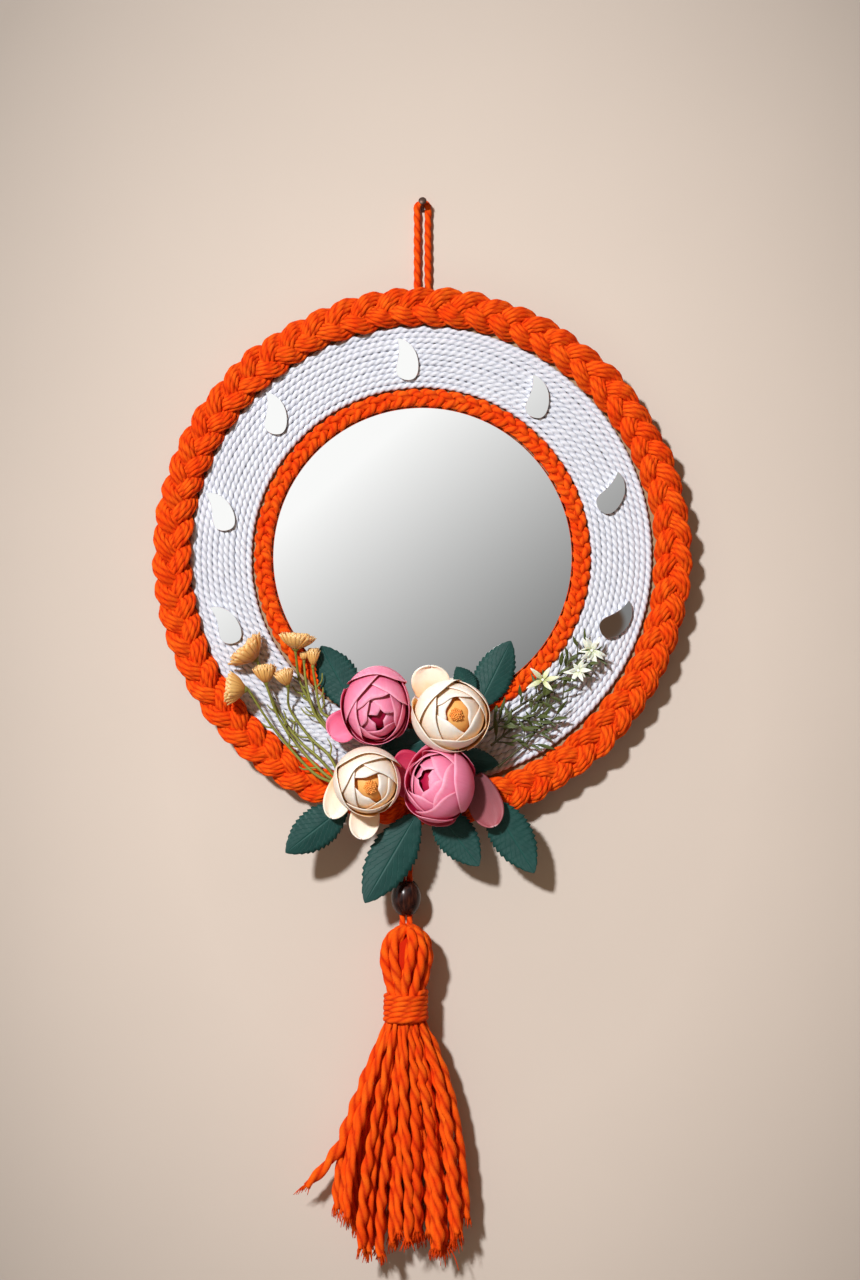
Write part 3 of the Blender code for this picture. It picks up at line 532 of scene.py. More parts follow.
def braid(name, material, radius, cycles, swing, lift, middle_depth, cords, apex, spacing, **cord_look):
    """Three strands plaited flat and closed into a ring; each strand is a bundle of cords.

    apex is 1 where the plaits point counter-clockwise seen from the front, else -1.
    """
    for strand in range(3):
        batch = Batch()
        count = int(math.tau * radius * 1.18 / spacing)
        turn = full_turn(count)
        drift = np.random.default_rng(31)
        slip = sum(drift.normal() * np.sin(k * turn + drift.uniform(0.0, math.tau)) for k in (3, 7, 11))
        theta = cycles * turn + strand * math.tau / 3.0 + 0.16 * slip
        rng = np.random.default_rng(40 + strand)
        waves = sum(rng.normal() * np.sin(k * turn + rng.uniform(0.0, math.tau)) for k in (17, 29, 41, 53))
        reach = radius + swing * np.sin(theta) * (1.0 + 0.035 * waves)
        out = lift * -apex * np.sin(2.0 * theta)
        path = ring_path(reach, turn, middle_depth + out)
        _, rise, side = frames(path, True)
        roll = 0.28 * np.sin(5 * turn + strand) + 0.2 * np.sin(13 * turn + 2.0 * strand)
        c, s = np.cos(roll), np.sin(roll)
        for number, (across_by, up_by) in enumerate(cords):
            place = (path + side * (across_by * c - up_by * s)[:, None]
                     + rise * (across_by * s + up_by * c)[:, None])
            cord_tube(batch, place, closed=True, phase=number * 1.3 + strand, wobble=0.045,
                      seed=strand * 7 + number, **cord_look)
        label = f"{name}_strand_{strand + 1}"
        piece(label, batch.mesh(label), material, "orange_cotton", name)


def braids(material):
    """The fat braid round the board's edge, and the narrow one round the mirror with a cord under it."""
    braid("outer_braid", material, radius=124.9 * MM, cycles=21, swing=5.3 * MM, lift=2.5 * MM,
          middle_depth=13.9 * MM, cords=OUTER_BUNDLE, apex=1, spacing=1.05 * MM,
          cord_radius=1.38 * MM, sides=9, depth=0.26, pitch=12.0 * MM, flat=1.0)
    braid("inner_braid", material, radius=79.7 * MM, cycles=24, swing=2.75 * MM, lift=1.15 * MM,
          middle_depth=11.1 * MM, cords=((0.0, 0.0),), apex=-1, spacing=0.75 * MM,
          cord_radius=2.0 * MM, sides=12, depth=0.24, pitch=9.0 * MM, flat=0.92)
    core = Batch()
    path = ring_path(76.7 * MM, full_turn(300), 11.2 * MM)
    cord_tube(core, path, 1.2 * MM, closed=True, sides=8, depth=0.2, pitch=8.0 * MM)
    piece("inner_braid_core", core.mesh("inner_braid_core"), material, "orange_cotton", "inner_braid")


def white_spiral(material):
    """One white two-ply cord wound round and round, glued flat on the board."""
    turns = 11
    pitch = 3.05 * MM
    inner = 83.3 * MM + CORD_RADIUS
    outer = inner + (turns - 1) * pitch
    start = math.radians(-80.0)
    total = turns * math.tau
    length = total * (inner + outer) / 2
    count = int(length / (0.95 * MM))
    turn = np.arange(count) / (count - 1) * total
    reach = inner + (turn / total) * (outer - inner)
    rng = np.random.default_rng(7)
    knots = rng.normal(size=400)
    reach = reach + 0.10 * MM * np.interp(turn, np.linspace(0.0, total, 400), knots)
    path = ring_path(reach, turn + start, GLUED_BACK + CORD_RADIUS)
    batch = Batch()
    cord_tube(batch, path, CORD_RADIUS * 1.09, sides=10, depth=0.38, pitch=8.0 * MM,
              wobble=0.04, seed=3)
    piece("white_cord", batch.mesh("white_cord"), material, "white_cotton", "white_cord_band")


def hanging_loop(material):
    """The hanging cord, on the route that the CAD gives it."""
    depth = 2.1 * MM
    leg_at = 2.7 * MM
    radius = 1.85 * MM
    bend_up = depth * math.tan(math.radians(23.0))
    bend_radius = 2.8 * MM
    bend = []
    for step in range(9):
        angle = math.pi * (1.0 - step / 8)
        bend.append((bend_radius * math.cos(angle), -depth, bend_up + bend_radius * math.sin(angle)))
    leg = [(leg_at, -depth, up * MM) for up in (-8.0, -25.0, -50.0, -75.0)]
    leg.append((leg_at + 1.0 * MM, -depth, -92.0 * MM))
    left = [(-across, away, up) for across, away, up in reversed(leg)]
    path = catmull(left + bend + leg, 0.8 * MM)
    batch = Batch()
    cord_tube(batch, path, radius, sides=12, depth=0.24, pitch=11.0 * MM, wobble=0.03)
    made = piece("hanging_loop", batch.mesh("hanging_loop"), material, "orange_cotton", "hanging_cord")


def suspension_cords(material):
    """The doubled cord from the board, through the bead, to the tassel."""
    axis = -8.2 * MM
    half = CORD_RADIUS + 0.17 * MM
    for name, across in (("left", axis - half), ("right", axis + half)):
        path = catmull([(across, -depth * MM, -drop * MM) for depth, drop in (
            (2.1, 288.0), (2.1, 302.0), (4.2, 315.0), (8.6, 326.0), (12.0, 337.0), (12.0, 352.0),
            (13.2, 359.4))], 0.8 * MM)
        batch = Batch()
        cord_tube(batch, path, CORD_RADIUS, sides=12, depth=0.2, pitch=11.0 * MM)
        made = piece(f"suspension_cord_{name}", batch.mesh(f"suspension_cord_{name}"), material,
                     "orange_cotton", f"tassel_cord_{name}")


# Mirrors, board, nail and bead

def plate(name, outline, back, front, bevel, material, slot, node_name):
    """A flat plate from an outline of (x, z) points, with a narrow bevel round its front."""
    outline = np.asarray(outline)
    count = len(outline)
    tangent = unit(np.roll(outline, -1, axis=0) - np.roll(outline, 1, axis=0))
    inward = np.stack([-tangent[:, 1], tangent[:, 0]], axis=1)
    inner = outline + inward * bevel
    rings = ((outline, back), (outline, front - bevel), (inner, front))
    verts = np.concatenate([np.stack([ring[:, 0], np.full(count, -depth), ring[:, 1]], axis=1)
                            for ring, depth in rings])
    mesh = mesh_from(name, verts, ring_faces(3, count) + end_faces(3, count), smooth=False)
    outward(mesh)
    return piece(name, mesh, material, slot, node_name)


def circle(radius, sides):
    turn = full_turn(sides)
    return np.stack([radius * np.cos(turn), radius * np.sin(turn) - RING_DROP], axis=1)


PAISLEYS = (
    (-9.2, 98.8, 108.4), (56.4, 80.1, 97.1), (94.1, 32.2, 72.0), (96.9, -30.8, 56.1),
    (-99.1, -33.7, 129.4), (-102.0, 22.9, 125.2), (-74.8, 71.7, 107.8),
)


def paisleys(material):
    """Seven small paisley mirrors with ground edges."""
    knots = (
        ((0.000, 1.00), (-0.01, 0.58), (0.155, 0.95)),
        ((0.305, 0.50), (0.305, 0.75), (0.305, 0.28)),
        ((0.030, 0.00), (0.20, 0.00), (-0.12, 0.00)),
        ((-0.265, 0.25), (-0.265, 0.12), (-0.265, 0.42)),
    )
    shape = []
    t = (np.arange(14) / 14)[:, None]
    for (start, _, after), (stop, before, _) in zip(knots, knots[1:] + knots[:1]):
        a, b, c, d = (np.array(p) for p in (start, after, before, stop))
        shape.append((1 - t) ** 3 * a + 3 * (1 - t) ** 2 * t * b + 3 * (1 - t) * t ** 2 * c + t ** 3 * d)
    shape = np.vstack(shape)[::-1]
    length = 21.9 * MM
    shape = (shape - np.array((0.0, 0.5))) * length
    for number, (across, up, degrees) in enumerate(PAISLEYS, start=1):
        turn = math.radians(degrees - 90.0)
        spin = np.array(((math.cos(turn), -math.sin(turn)), (math.sin(turn), math.cos(turn))))
        outline = shape @ spin.T + np.array((across * MM, up * MM - RING_DROP))
        plate(f"paisley_{number}", outline, 11.8 * MM, 13.4 * MM, 0.04 * MM, material,
              "mirror_glass", f"paisley_mirror_{number}")


def board_and_mirrors(board, mirror):
    """The round board, the round mirror on it, and the small mirrors on the white band."""
    sides = 180
    plate("board_plate", circle(127.0 * MM, sides), 4.0 * MM, 8.0 * MM, 0.2 * MM, board, "board",
          "backing_board")
    plate("mirror_plate", circle(75.0 * MM, sides), GLUED_BACK, 11.3 * MM, 0.5 * MM, mirror,
          "mirror_glass", "round_mirror")
    paisleys(mirror)


def nail_piece(material):
    """A wire nail with a slightly domed head, cut in the wall plane."""
    tilt = math.radians(23.0)
    axis = (0.0, -math.cos(tilt), math.sin(tilt))
    profile = [(0.0, 10.5), (0.9, 10.42), (1.6, 10.15), (2.0, 9.85), (1.95, 9.6), (0.95, 9.5),
               (0.75, 9.3), (0.75, 0.34), (0.0, 0.34)]
    mesh = turned_mesh("nail_piece", [(r * MM, h * MM) for r, h in profile], 24, (0.0, 0.0, 0.0), axis)
    piece("nail_piece", mesh, material, "nail_steel", "nail")


def bead_piece(material):
    """The barrel bead with rounded lips at its bore."""
    half = 8.3 * MM
    limit = math.radians(58.0)
    profile = []
    for row in range(21):
        angle = limit - 2 * limit * row / 20
        profile.append((7.4 * MM * math.cos(angle), half * math.sin(angle) / math.sin(limit)))
    profile += [(3.87 * MM, -half + 0.25 * MM), (3.8 * MM, -half + 0.8 * MM),
                (3.8 * MM, half - 0.8 * MM), (3.87 * MM, half - 0.25 * MM)]
    mesh = turned_mesh("bead_piece", profile, 48, (-8.2 * MM, -12.0 * MM, -344.6 * MM))
    piece("bead_piece", mesh, material, "bead_wood", "bead")


# The tassel

TASSEL_CENTRE = np.array((-8.2 * MM, -15.5 * MM, 0.0))


def tassel_head(material):
    """Fat looped cords that spread from the top and gather again at the waist."""
    rows = (
        # drop from the nail, radius of the ring that the cords' middles lie on
        (359.6, 1.6), (361.2, 5.6), (364.5, 9.2), (370.0, 11.4), (376.0, 11.6), (383.0, 10.2), (389.0, 8.4),
        (396.0, 7.0), (406.0, 7.2),
    )
    head = Batch()
    rng = random.Random(5)
    for layer, (count, shrink, radius) in enumerate(((7, 0.66, 2.3), (10, 1.0, 2.5))):
        for number in range(count):
            turn = math.tau * (number + 0.5 * layer) / count + rng.uniform(-0.09, 0.09)
            lean = rng.uniform(-1.2, 0.9)
            bulge = rng.uniform(0.88, 1.04)
            points = []
            for drop, reach in rows:
                share = (drop - rows[0][0]) / (rows[-1][0] - rows[0][0])
                angle = turn + lean * (share - 0.5)
                size = reach * shrink * bulge
                points.append(TASSEL_CENTRE + (size * math.cos(angle) * MM + 1.2 * MM * (1.0 - share),
                                               size * math.sin(angle) * MM, -drop * MM))
            path = catmull(points, 1.2 * MM)
            cord_tube(head, path, radius * MM, sides=12, depth=0.30, pitch=19.0 * MM,
                      phase=number * 1.7, wobble=0.03, seed=number)
    # The core is painted shade: all in the deep tone, it shows dark through the gaps between the loops.
    head.add(*turned_core(((0.5, -362.0), (6.0, -366.0), (8.4, -372.0), (8.4, -379.0), (7.4, -386.0),
                           (7.0, -395.0), (7.4, -408.0), (0.5, -409.0)), TASSEL_CENTRE, 24))
    piece("tassel_head_loops", head.mesh("tassel_head_loops"), material, "orange_cotton", "tassel")


def tassel_wrap(material):
    """The cord wound round the waist, its turns a little uneven and tilted."""
    wrap = Batch()
    turns = 5.6
    count = 460
    t = np.arange(count) / (count - 1)
    angle = t * turns * math.tau - 0.9
    reach = (9.7 + 0.35 * np.sin(t * 31.0) * t) * MM
    height = -391.4 * MM - t * 14.6 * MM + (0.35 + 0.7 * t) * MM * np.cos(angle)
    path = np.stack([TASSEL_CENTRE[0] + reach * np.cos(angle), TASSEL_CENTRE[1] + reach * np.sin(angle),
                     height], axis=1)
    cord_tube(wrap, path, 1.72 * MM, sides=10, depth=0.2, pitch=15.0 * MM,
              up=np.array((0.0, 0.0, 1.0)), wobble=0.04, seed=9)
    piece("tassel_wound_cord", wrap.mesh("tassel_wound_cord"), material, "orange_cotton", "tassel_wrap")


# The number of the strand that strays to the left
STRAY_STRAND = 38
# The skirt's ragged lower edge: how low the strands end, by their distance to the left or right
SKIRT_EDGE = ((-36.0, -27.0, -22.0, -10.0, -7.0, 11.0, 14.0, 23.0, 28.0, 35.0),
              (499.0, 502.0, 519.0, 521.0, 513.0, 513.0, 519.0, 519.0, 507.0, 503.0))


def skirt_strand(number, total, rng):
    """The route of one strand from under the wrap to its end."""
    share = math.sqrt((number + 0.5) / total)
    turn = number * GOLDEN_TURN
    root = np.array((7.6 * MM * share * math.cos(turn), 7.6 * MM * share * math.sin(turn)))
    end = np.array((root[0] * (5.4 if root[0] < 0.0 else 4.5), root[1] * 1.5))
    bottom = (np.interp(end[0] / MM, SKIRT_EDGE[0], SKIRT_EDGE[1]) + rng.uniform(-4.5, 2.0)) * MM
    kick = 0.0
    if number == STRAY_STRAND:
        kick = 13.0 * MM
        bottom = 488.0 * MM
    top = 402.5 * MM
    sway = rng.uniform(-1.8, 1.8) * MM
    crimp = rng.uniform(0.0, 6.0)
    points = []
    for step in range(31):
        t = step / 30
        share = t * 0.72 if kick else t
        flare = 1.0 - (1.0 - share) ** 1.8
        place = root + (end - root) * flare
        drop = (bottom - top) * t
        out = kick * max(0.0, (t - 0.74) / 0.26) ** 1.4
        wave = 0.32 * MM * min(1.0, t * 4.0) * math.sin(drop / (13.5 * MM) * math.tau + crimp)
        points.append((TASSEL_CENTRE[0] + place[0] - out + sway * math.sin(t * 5.5) + wave,
                       min(TASSEL_CENTRE[1] + place[1], -3.6 * MM), -(top + drop)))
    return catmull(points, 1.05 * MM)


def tassel_skirt(material):
    """Fat two-ply strands, each ending in a splayed tuft, with a few long loose hairs."""
    skirt = Batch()
    rng = random.Random(17)
    total = 42
    for number in range(total):
        path = skirt_strand(number, total, rng)
        size = np.interp(np.linspace(0.0, 1.0, len(path)), (0.0, 0.08, 0.3, 0.93, 1.0),
                         (0.62, 0.7, 0.95, 1.06, 0.72))
        size = size * rng.uniform(0.88, 1.12)
        cord_tube(skirt, path, 2.6 * MM * size, sides=12, depth=0.5,
                  pitch=rng.uniform(22.0, 28.0) * MM, phase=rng.uniform(0.0, 6.0), wobble=0.08, seed=number)
        tuft(skirt, path, rng, 15, 7.5)
    for number in range(7):
        path = skirt_strand(rng.randrange(8, total), total, rng)
        tuft(skirt, path, rng, 1, 15.0)
    piece("tassel_skirt", skirt.mesh("tassel_skirt"), material, "orange_cotton", "tassel")


def tuft(batch, path, rng, count, reach):
    """Loose fibres that splay from a cut end and droop."""
    heading = path[-1] - path[-5]
    heading /= np.linalg.norm(heading)
    for _ in range(count):
        start = path[-3] + np.array((rng.uniform(-1.3, 1.3), rng.uniform(-1.1, 1.1), 0.0)) * MM
        spread = np.array((rng.uniform(-0.55, 0.55), rng.uniform(-0.25, 0.2), 0.0))
        length = reach * rng.uniform(0.45, 1.0) * MM
        middle = start + (heading + spread) * length * 0.5
        tip = middle + (heading * 0.75 + spread * rng.uniform(-0.4, 1.1) + (0.0, 0.0, -0.3)) * length * 0.5
        hair = catmull([start, middle, tip], 1.6 * MM)
        hair[:, 1] = np.minimum(hair[:, 1], -0.6 * MM)
        cord_tube(batch, hair, np.linspace(0.42, 0.15, len(hair)) * MM, sides=4, depth=0.0)


def turned_core(profile, centre, sides):
    """Vertices, faces, uvs and tones of a plain core, turned from (radius, height) pairs in millimetres.
    Its tone is all deep: painted shade for the gaps between the loops round it.
    """
    rows = len(profile)
    turn = full_turn(sides)
    verts = np.array([(centre[0] + r * MM * math.cos(a), centre[1] + r * MM * math.sin(a), z * MM)
                      for r, z in profile for a in turn])
    faces = [face[::-1] for face in ring_faces(rows, sides) + end_faces(rows, sides)]
    return verts, faces, np.zeros((len(verts), 2)), np.ones(len(verts))


# Flowers and leaves

def grid_faces(columns, rows):
    width = columns + 1
    return [(r * width + c, r * width + c + 1, (r + 1) * width + c + 1, (r + 1) * width + c)
            for r in range(rows) for c in range(columns)]


def thick_sheet(batch, verts, columns, rows, uvs, thick, upper=0.0, under=0.0):
    """A grid of points given a thickness and closed round its edge.

    upper and under are the tone values of the side that the grid's normal leaves and of the other.
    """
    grid = verts.reshape(rows + 1, columns + 1, 3)
    du = np.gradient(grid, axis=1)
    dv = np.gradient(grid, axis=0)
    normal = np.cross(du, dv)
    size = np.linalg.norm(normal, axis=2)[:, :, None]
    normal = normal / np.maximum(size, 1e-12)
    top = (grid + normal * thick / 2).reshape(-1, 3)
    low = (grid - normal * thick / 2).reshape(-1, 3)
    count = len(top)
    faces = grid_faces(columns, rows)
    back = [tuple(i + count for i in reversed(face)) for face in faces]
    width = columns + 1
    rim = (list(range(width)) + [r * width + columns for r in range(1, rows + 1)]
           + [rows * width + c for c in range(columns - 1, -1, -1)]
           + [r * width for r in range(rows - 1, 0, -1)])
    sides = [(a, a + count, b + count, b) for a, b in zip(rim, rim[1:] + rim[:1])]
    tone = np.concatenate([np.broadcast_to(np.ravel(side), (count,)) for side in (upper, under)])
    batch.add(np.vstack([top, low]), faces + back + sides, np.vstack([uvs, uvs]), tone)


def unit_uvs(columns, rows):
    c, r = np.meshgrid(np.arange(columns + 1) / columns, np.arange(rows + 1) / rows)
    return np.stack([c.ravel(), r.ravel()], axis=1)


def head_petal(batch, head, share, turn, half_angle, rim, drop, rng):
    """One cupped petal of a round head, with a rounded rim.

    It runs up a ball from behind to the polar angle rim, measured from the eye. Towards its
    own two edges the rim falls back by the angle drop. One edge stands a little further out.
    """
    columns, rows = 18, 12
    foot = math.radians(148.0)
    u, v = np.meshgrid(np.linspace(-1.0, 1.0, columns + 1), np.linspace(0.0, 1.0, rows + 1) ** 0.75)
    top = rim + drop * np.abs(u) ** 3.2 + math.radians(3.0) * np.sin(u * 3.4 + rng.uniform(0.0, 6.0))
    polar = foot + (top - foot) * v
    azimuth = turn + u * half_angle
    wave = 0.014 * np.sin(u * 4.0 + rng.uniform(0.0, 6.0)) * v ** 3
    lip = 0.030 + 0.022 * np.sin(u * 2.0 + rng.uniform(0.0, 6.0))
    lip = lip * np.clip((v - 0.86) / 0.14, 0.0, 1.0) ** 2
    reach = head.radius * share * (1.0 - 0.022 * u + wave + lip)
    ball = np.stack([reach * np.sin(polar) * np.cos(azimuth), reach * np.sin(polar) * np.sin(azimuth),
                     reach * np.cos(polar)], axis=2).reshape(-1, 3)
    inner = np.where(v > 0.97, 0.6, 1.0)
    thick_sheet(batch, head.place(ball), columns, rows, unit_uvs(columns, rows), 0.24 * MM, 0.0, inner)


class Head:
    """A round flower head: its middle, its size and the way its eye looks."""

    def __init__(self, across, up, depth, half_width, half_height, eye_across, eye_up):
        self.middle = np.array((across, -depth, up - 174.6)) * MM
        self.radius = half_width * MM
        self.scale = np.array((1.0, half_height / half_width, 0.95))
        sight = Vector((eye_across, eye_up, 12.0)).normalized()
        self.turn = np.array(Vector((0.0, 0.0, 1.0)).rotation_difference(sight).to_matrix())

    def place(self, points):
        """From the ball's frame, with Z towards the eye, to the world."""
        local = (points @ self.turn.T) * self.scale
        return (self.middle + local[:, 0:1] * np.array((1.0, 0.0, 0.0))
                + local[:, 1:2] * np.array((0.0, 0.0, 1.0)) + local[:, 2:3] * FRONT)


def flower(name, node_name, slot, material, head, kind, seed):
    """A round head: petals that follow each other round it in a spiral, tightening towards the eye."""
    rng = random.Random(seed)
    batch = Batch()
    start = rng.uniform(0.0, 360.0)
    for index in range(kind["petals"]):
        done = index / (kind["petals"] - 1)
        share = 1.0 - kind["shrink"] * done ** 0.9
        rim = kind["last_rim"] + (kind["first_rim"] - kind["last_rim"]) * (1.0 - done) ** kind["tighten"]
        turn = math.radians(start + PETAL_STEP * index + rng.uniform(-9.0, 9.0))
        half = kind["half_angle"] * rng.uniform(0.9, 1.1)
        head_petal(batch, head, share, turn, math.radians(half), math.radians(rim + rng.uniform(-2.5, 2.5)),
                   math.radians(RIM_DROP * rng.uniform(0.8, 1.2)), rng)
    core = head.radius * (0.88 - kind["shrink"])
    polar, around = np.meshgrid(np.arange(13) / 12 * math.pi, np.arange(24) / 24 * math.tau, indexing="ij")
    ball = core * np.stack([np.sin(polar) * np.cos(around), np.sin(polar) * np.sin(around), np.cos(polar)],
                           axis=2).reshape(-1, 3)
    batch.add(head.place(ball), [face[::-1] for face in ring_faces(13, 24)], np.zeros((len(ball), 2)),
              np.ones(len(ball)))
    return piece(name, batch.mesh(name, "leaf"), material, slot, node_name)


# Angles in degrees. first_rim and last_rim say how far from the eye the outermost and innermost rims lie.
PETAL_STEP = 137.5
RIM_DROP = 40.0
PINK_HEAD = {"petals": 17, "shrink": 0.36, "first_rim": 74.0, "last_rim": 11.0, "tighten": 1.2,
             "half_angle": 64.0}
CREAM_HEAD = {"petals": 11, "shrink": 0.26, "first_rim": 62.0, "last_rim": 19.0, "tighten": 1.1,
              "half_angle": 74.0}


def calyx(name, head, neck_to, material):
    """The green cup and short neck behind a head, down to what carries it."""
    depth = float(-head.middle[1])
    reach = depth - neck_to
    cup = ((3.4, 11.0), (6.0, 9.5), (8.8, 7.0), (6.0, 6.0), (0.2, 6.0))
    profile = [(0.2 * MM, 0.0), (3.3 * MM, 0.0)] + [(r * MM, reach - below * MM) for r, below in cup]
    mesh = turned_mesh(name, profile, 24, (head.middle[0], -neck_to, head.middle[2]), (0.0, -1.0, 0.0))
    piece(name, mesh, material, "leaf_cloth")


def flower_eye(name, material, head, radius, height, seed):
    """The eye of a cream head: a crumpled cushion of small knobs."""
    rng = random.Random(seed)
    batch = Batch()
    total = 42
    for number in range(total):
        share = math.sqrt((number + 0.5) / total)
        x = radius * share * math.cos(number * GOLDEN_TURN)
        y = radius * share * math.sin(number * GOLDEN_TURN)
        top = height + (1.5 * (1.0 - share ** 2) + rng.uniform(-0.35, 0.35)) * MM
        points = np.array([(x, y, height - 6.0 * MM), (x, y, top - 1.0 * MM), (x * 1.03, y * 1.03, top)])
        fine = catmull(head.place(points), 0.7 * MM)
        sizes = np.interp(np.linspace(0.0, 1.0, len(fine)), (0.0, 0.7, 0.9, 1.0), (0.5, 0.62, 0.66, 0.28))
        stalk(batch, fine, sizes * MM, 7)
    piece(name, batch.mesh(name, "leaf"), material, "ochre_cloth")


# Colour, number, and in millimetres: across, up and depth of the middle, half width, half height,
# then how far across and up the eye looks, the seed, and the depth that the neck reaches back to
HEADS = (
    ("pink", 1, (-22.7, -74.6, 33.0, 17.5, 20.1, 2.0, -5.0), 3, 14.2),
    ("pink", 2, (8.0, -112.2, 36.0, 18.6, 19.8, -9.0, 4.0), 13, 11.8),
    ("cream", 1, (14.2, -78.4, 39.0, 19.4, 18.3, 2.4, 0.7), 5, 14.2),
    ("cream", 2, (-26.9, -111.0, 36.0, 17.3, 17.3, 2.0, -2.6), 8, 11.8),
)


def round_heads(cloths, leaf):
    """Four round heads with their green cups, and an eye in each cream one."""
    for colour, number, shape, seed, neck in HEADS:
        head = Head(*shape)
        name = f"{colour}_head_{number}"
        flower(name, f"{colour}_flower_{number}", f"{colour}_cloth", cloths[f"{colour}_petal_cloth"], head,
               PINK_HEAD if colour == "pink" else CREAM_HEAD, seed)
        calyx(f"{name}_calyx", head, neck * MM, leaf)
        if colour == "cream":
            flower_eye(f"eye_{number}", cloths["stamen_cloth"], head, 3.1 * MM, head.radius * 0.66, seed)


def stalk(batch, path, radius, sides):
    """A plain tapered tube whose direction may be towards the viewer."""
    tangent = unit(np.gradient(path, axis=0))
    helper = np.array((0.31, 0.22, 0.93))
    rise = unit(helper - (tangent @ helper)[:, None] * tangent)
    side = np.cross(tangent, rise)
    around = full_turn(sides)
    radius = np.broadcast_to(np.asarray(radius, dtype=float), (len(path),))
    verts = (path[:, None, :] + (radius[:, None] * np.cos(around))[:, :, None] * side[:, None, :]
             + (radius[:, None] * np.sin(around))[:, :, None] * rise[:, None, :]).reshape(-1, 3)
    count = len(path)
    share = np.repeat(np.linspace(0.0, 1.0, count), sides)
    batch.add(verts, ring_faces(count, sides) + end_faces(count, sides),
              np.stack([np.tile(around / math.tau, count), share], axis=1))


def ring_point(place):
    across, depth, up = place
    return np.array((across * MM, -depth * MM, up * MM - RING_DROP))


def blade(name, node_name, material, slot, base, tip, width, rows, columns, half_width, lift,
          thick=0.8 * MM, tone=0.0):
    """A leaf or petal on the same base, tip and width as its CAD node."""
    base = ring_point(base)
    tip = ring_point(tip)
    along = tip - base
    length = np.linalg.norm(along)
    along /= length
    front = FRONT - (FRONT @ along) * along
    front /= np.linalg.norm(front)
    side = np.cross(along, front)
    steps = np.linspace(0.0, 1.0, rows + 1)
    if half_width is petal_half:
        steps = np.sin(steps * math.pi / 2)
    u, v = np.meshgrid(np.linspace(-1.0, 1.0, columns + 1), steps)
    half = half_width(v) * width * MM / 2
    verts = (base + (u * half)[:, :, None] * side + (v * length)[:, :, None] * along
             + lift(u, v)[:, :, None] * front).reshape(-1, 3)
    batch = Batch()
    thick_sheet(batch, verts, columns, rows, unit_uvs(columns, rows), thick, tone, tone)
    nodes = (node_name,) if node_name else ()
    return piece(name, batch.mesh(name, "leaf"), material, slot, *nodes)


def leaf_half(v):
    oval = np.sin(math.pi * np.minimum(1.0, 0.06 + 0.94 * v)) ** 0.75
    teeth = ((v * 14.0) % 1.0) * 0.13
    return np.maximum(0.02, oval * (0.93 + teeth) * (v < 0.999))


def leaf_lift(u, v):
    fold = -1.8 * MM * np.abs(u) * np.sin(math.pi * v)
    side_veins = 0.12 * MM * np.cos((v - 0.42 * np.abs(u)) * 7.0 * math.tau) * (1.0 - v)
    return fold + 1.0 * MM * v * v + side_veins * np.minimum(1.0, np.abs(u) * 4.0)


def petal_half(v):
    """Widest at 0.58 of the length and round at the tip."""
    span = np.where(v > 0.58, 0.42, 0.66)
    return np.sqrt(np.maximum(0.0015, 1.0 - ((v - 0.58) / span) ** 2))


def petal_lift(u, v):
    return (2.2 * u * u * v + 1.0 * v * v + 0.18 * np.sin(u * 6.0 + 1.0) * v) * MM


# Each leaf and petal has its foot, tip and greatest width, in millimetres from the ring's middle
LEAVES = (
    ("leaf_upper_left", (-34.0, 17.0, -75.0), (-50.5, 15.2, -44.4), 20.0),
    ("leaf_upper_right", (28.0, 16.4, -74.4), (44.0, 15.0, -41.9), 19.0),
    ("leaf_upper_small", (25.0, 20.0, -68.4), (17.0, 19.0, -54.9), 11.0),
    ("leaf_lower_left", (-38.5, 21.6, -123.9), (-67.5, 30.0, -146.4), 20.0),
    ("leaf_lower_middle", (-3.5, 21.6, -128.9), (-28.5, 26.0, -171.4), 23.0),
    ("leaf_lower_shaded", (6.5, 21.8, -125.4), (28.0, 22.0, -153.4), 20.0),
    ("leaf_lower_right", (34.0, 21.8, -121.4), (55.5, 21.5, -156.9), 21.0),
)
# Dark leaves behind the gap between the four heads: partly leaves, partly a stand-in for the deep shade in
# that gap.
BED_LEAVES = (
    ((-22.0, 17.5, -102.0), (6.0, 19.5, -88.0), 18.0),
    ((-20.0, 19.5, -86.0), (4.0, 17.5, -102.0), 15.0),
    ((12.0, 17.5, -100.0), (38.0, 17.0, -103.0), 13.0),
)
# How far the tone of a petal goes towards its cloth's inner side; for pink_petal_left this is painted
# shade, the dark of the shadow it lies in.
DARK_PETALS = {"pink_petal_left": 0.9, "pink_petal_low": 0.45}
PETALS = (
    ("pink_petal_upper_left", "pink", (-33.5, 22.0, -78.9), (-45.5, 21.5, -88.9), 16.0),
    ("pink_petal_left", "pink", (1.0, 25.2, -107.0), (-15.0, 25.0, -108.0), 24.0),
    ("pink_petal_low", "pink", (8.0, 25.4, -121.0), (6.0, 27.0, -133.4), 20.0),
    # The right pink petal's dark cloth is painted shadow, for the head's shadow that it lies in.
    ("pink_petal_right", "painted_shade_pink", (25.5, 25.6, -108.5), (35.5, 26.5, -133.5), 17.0),
    ("cream_petal_back", "cream", (4.0, 24.0, -71.4), (4.0, 23.0, -54.4), 19.0),
    ("cream_petal_left", "cream", (-37.0, 25.2, -106.0), (-45.0, 27.0, -129.5), 14.0),
    ("cream_petal_low", "cream", (-27.0, 25.4, -119.4), (-30.0, 27.5, -139.9), 15.0),
)


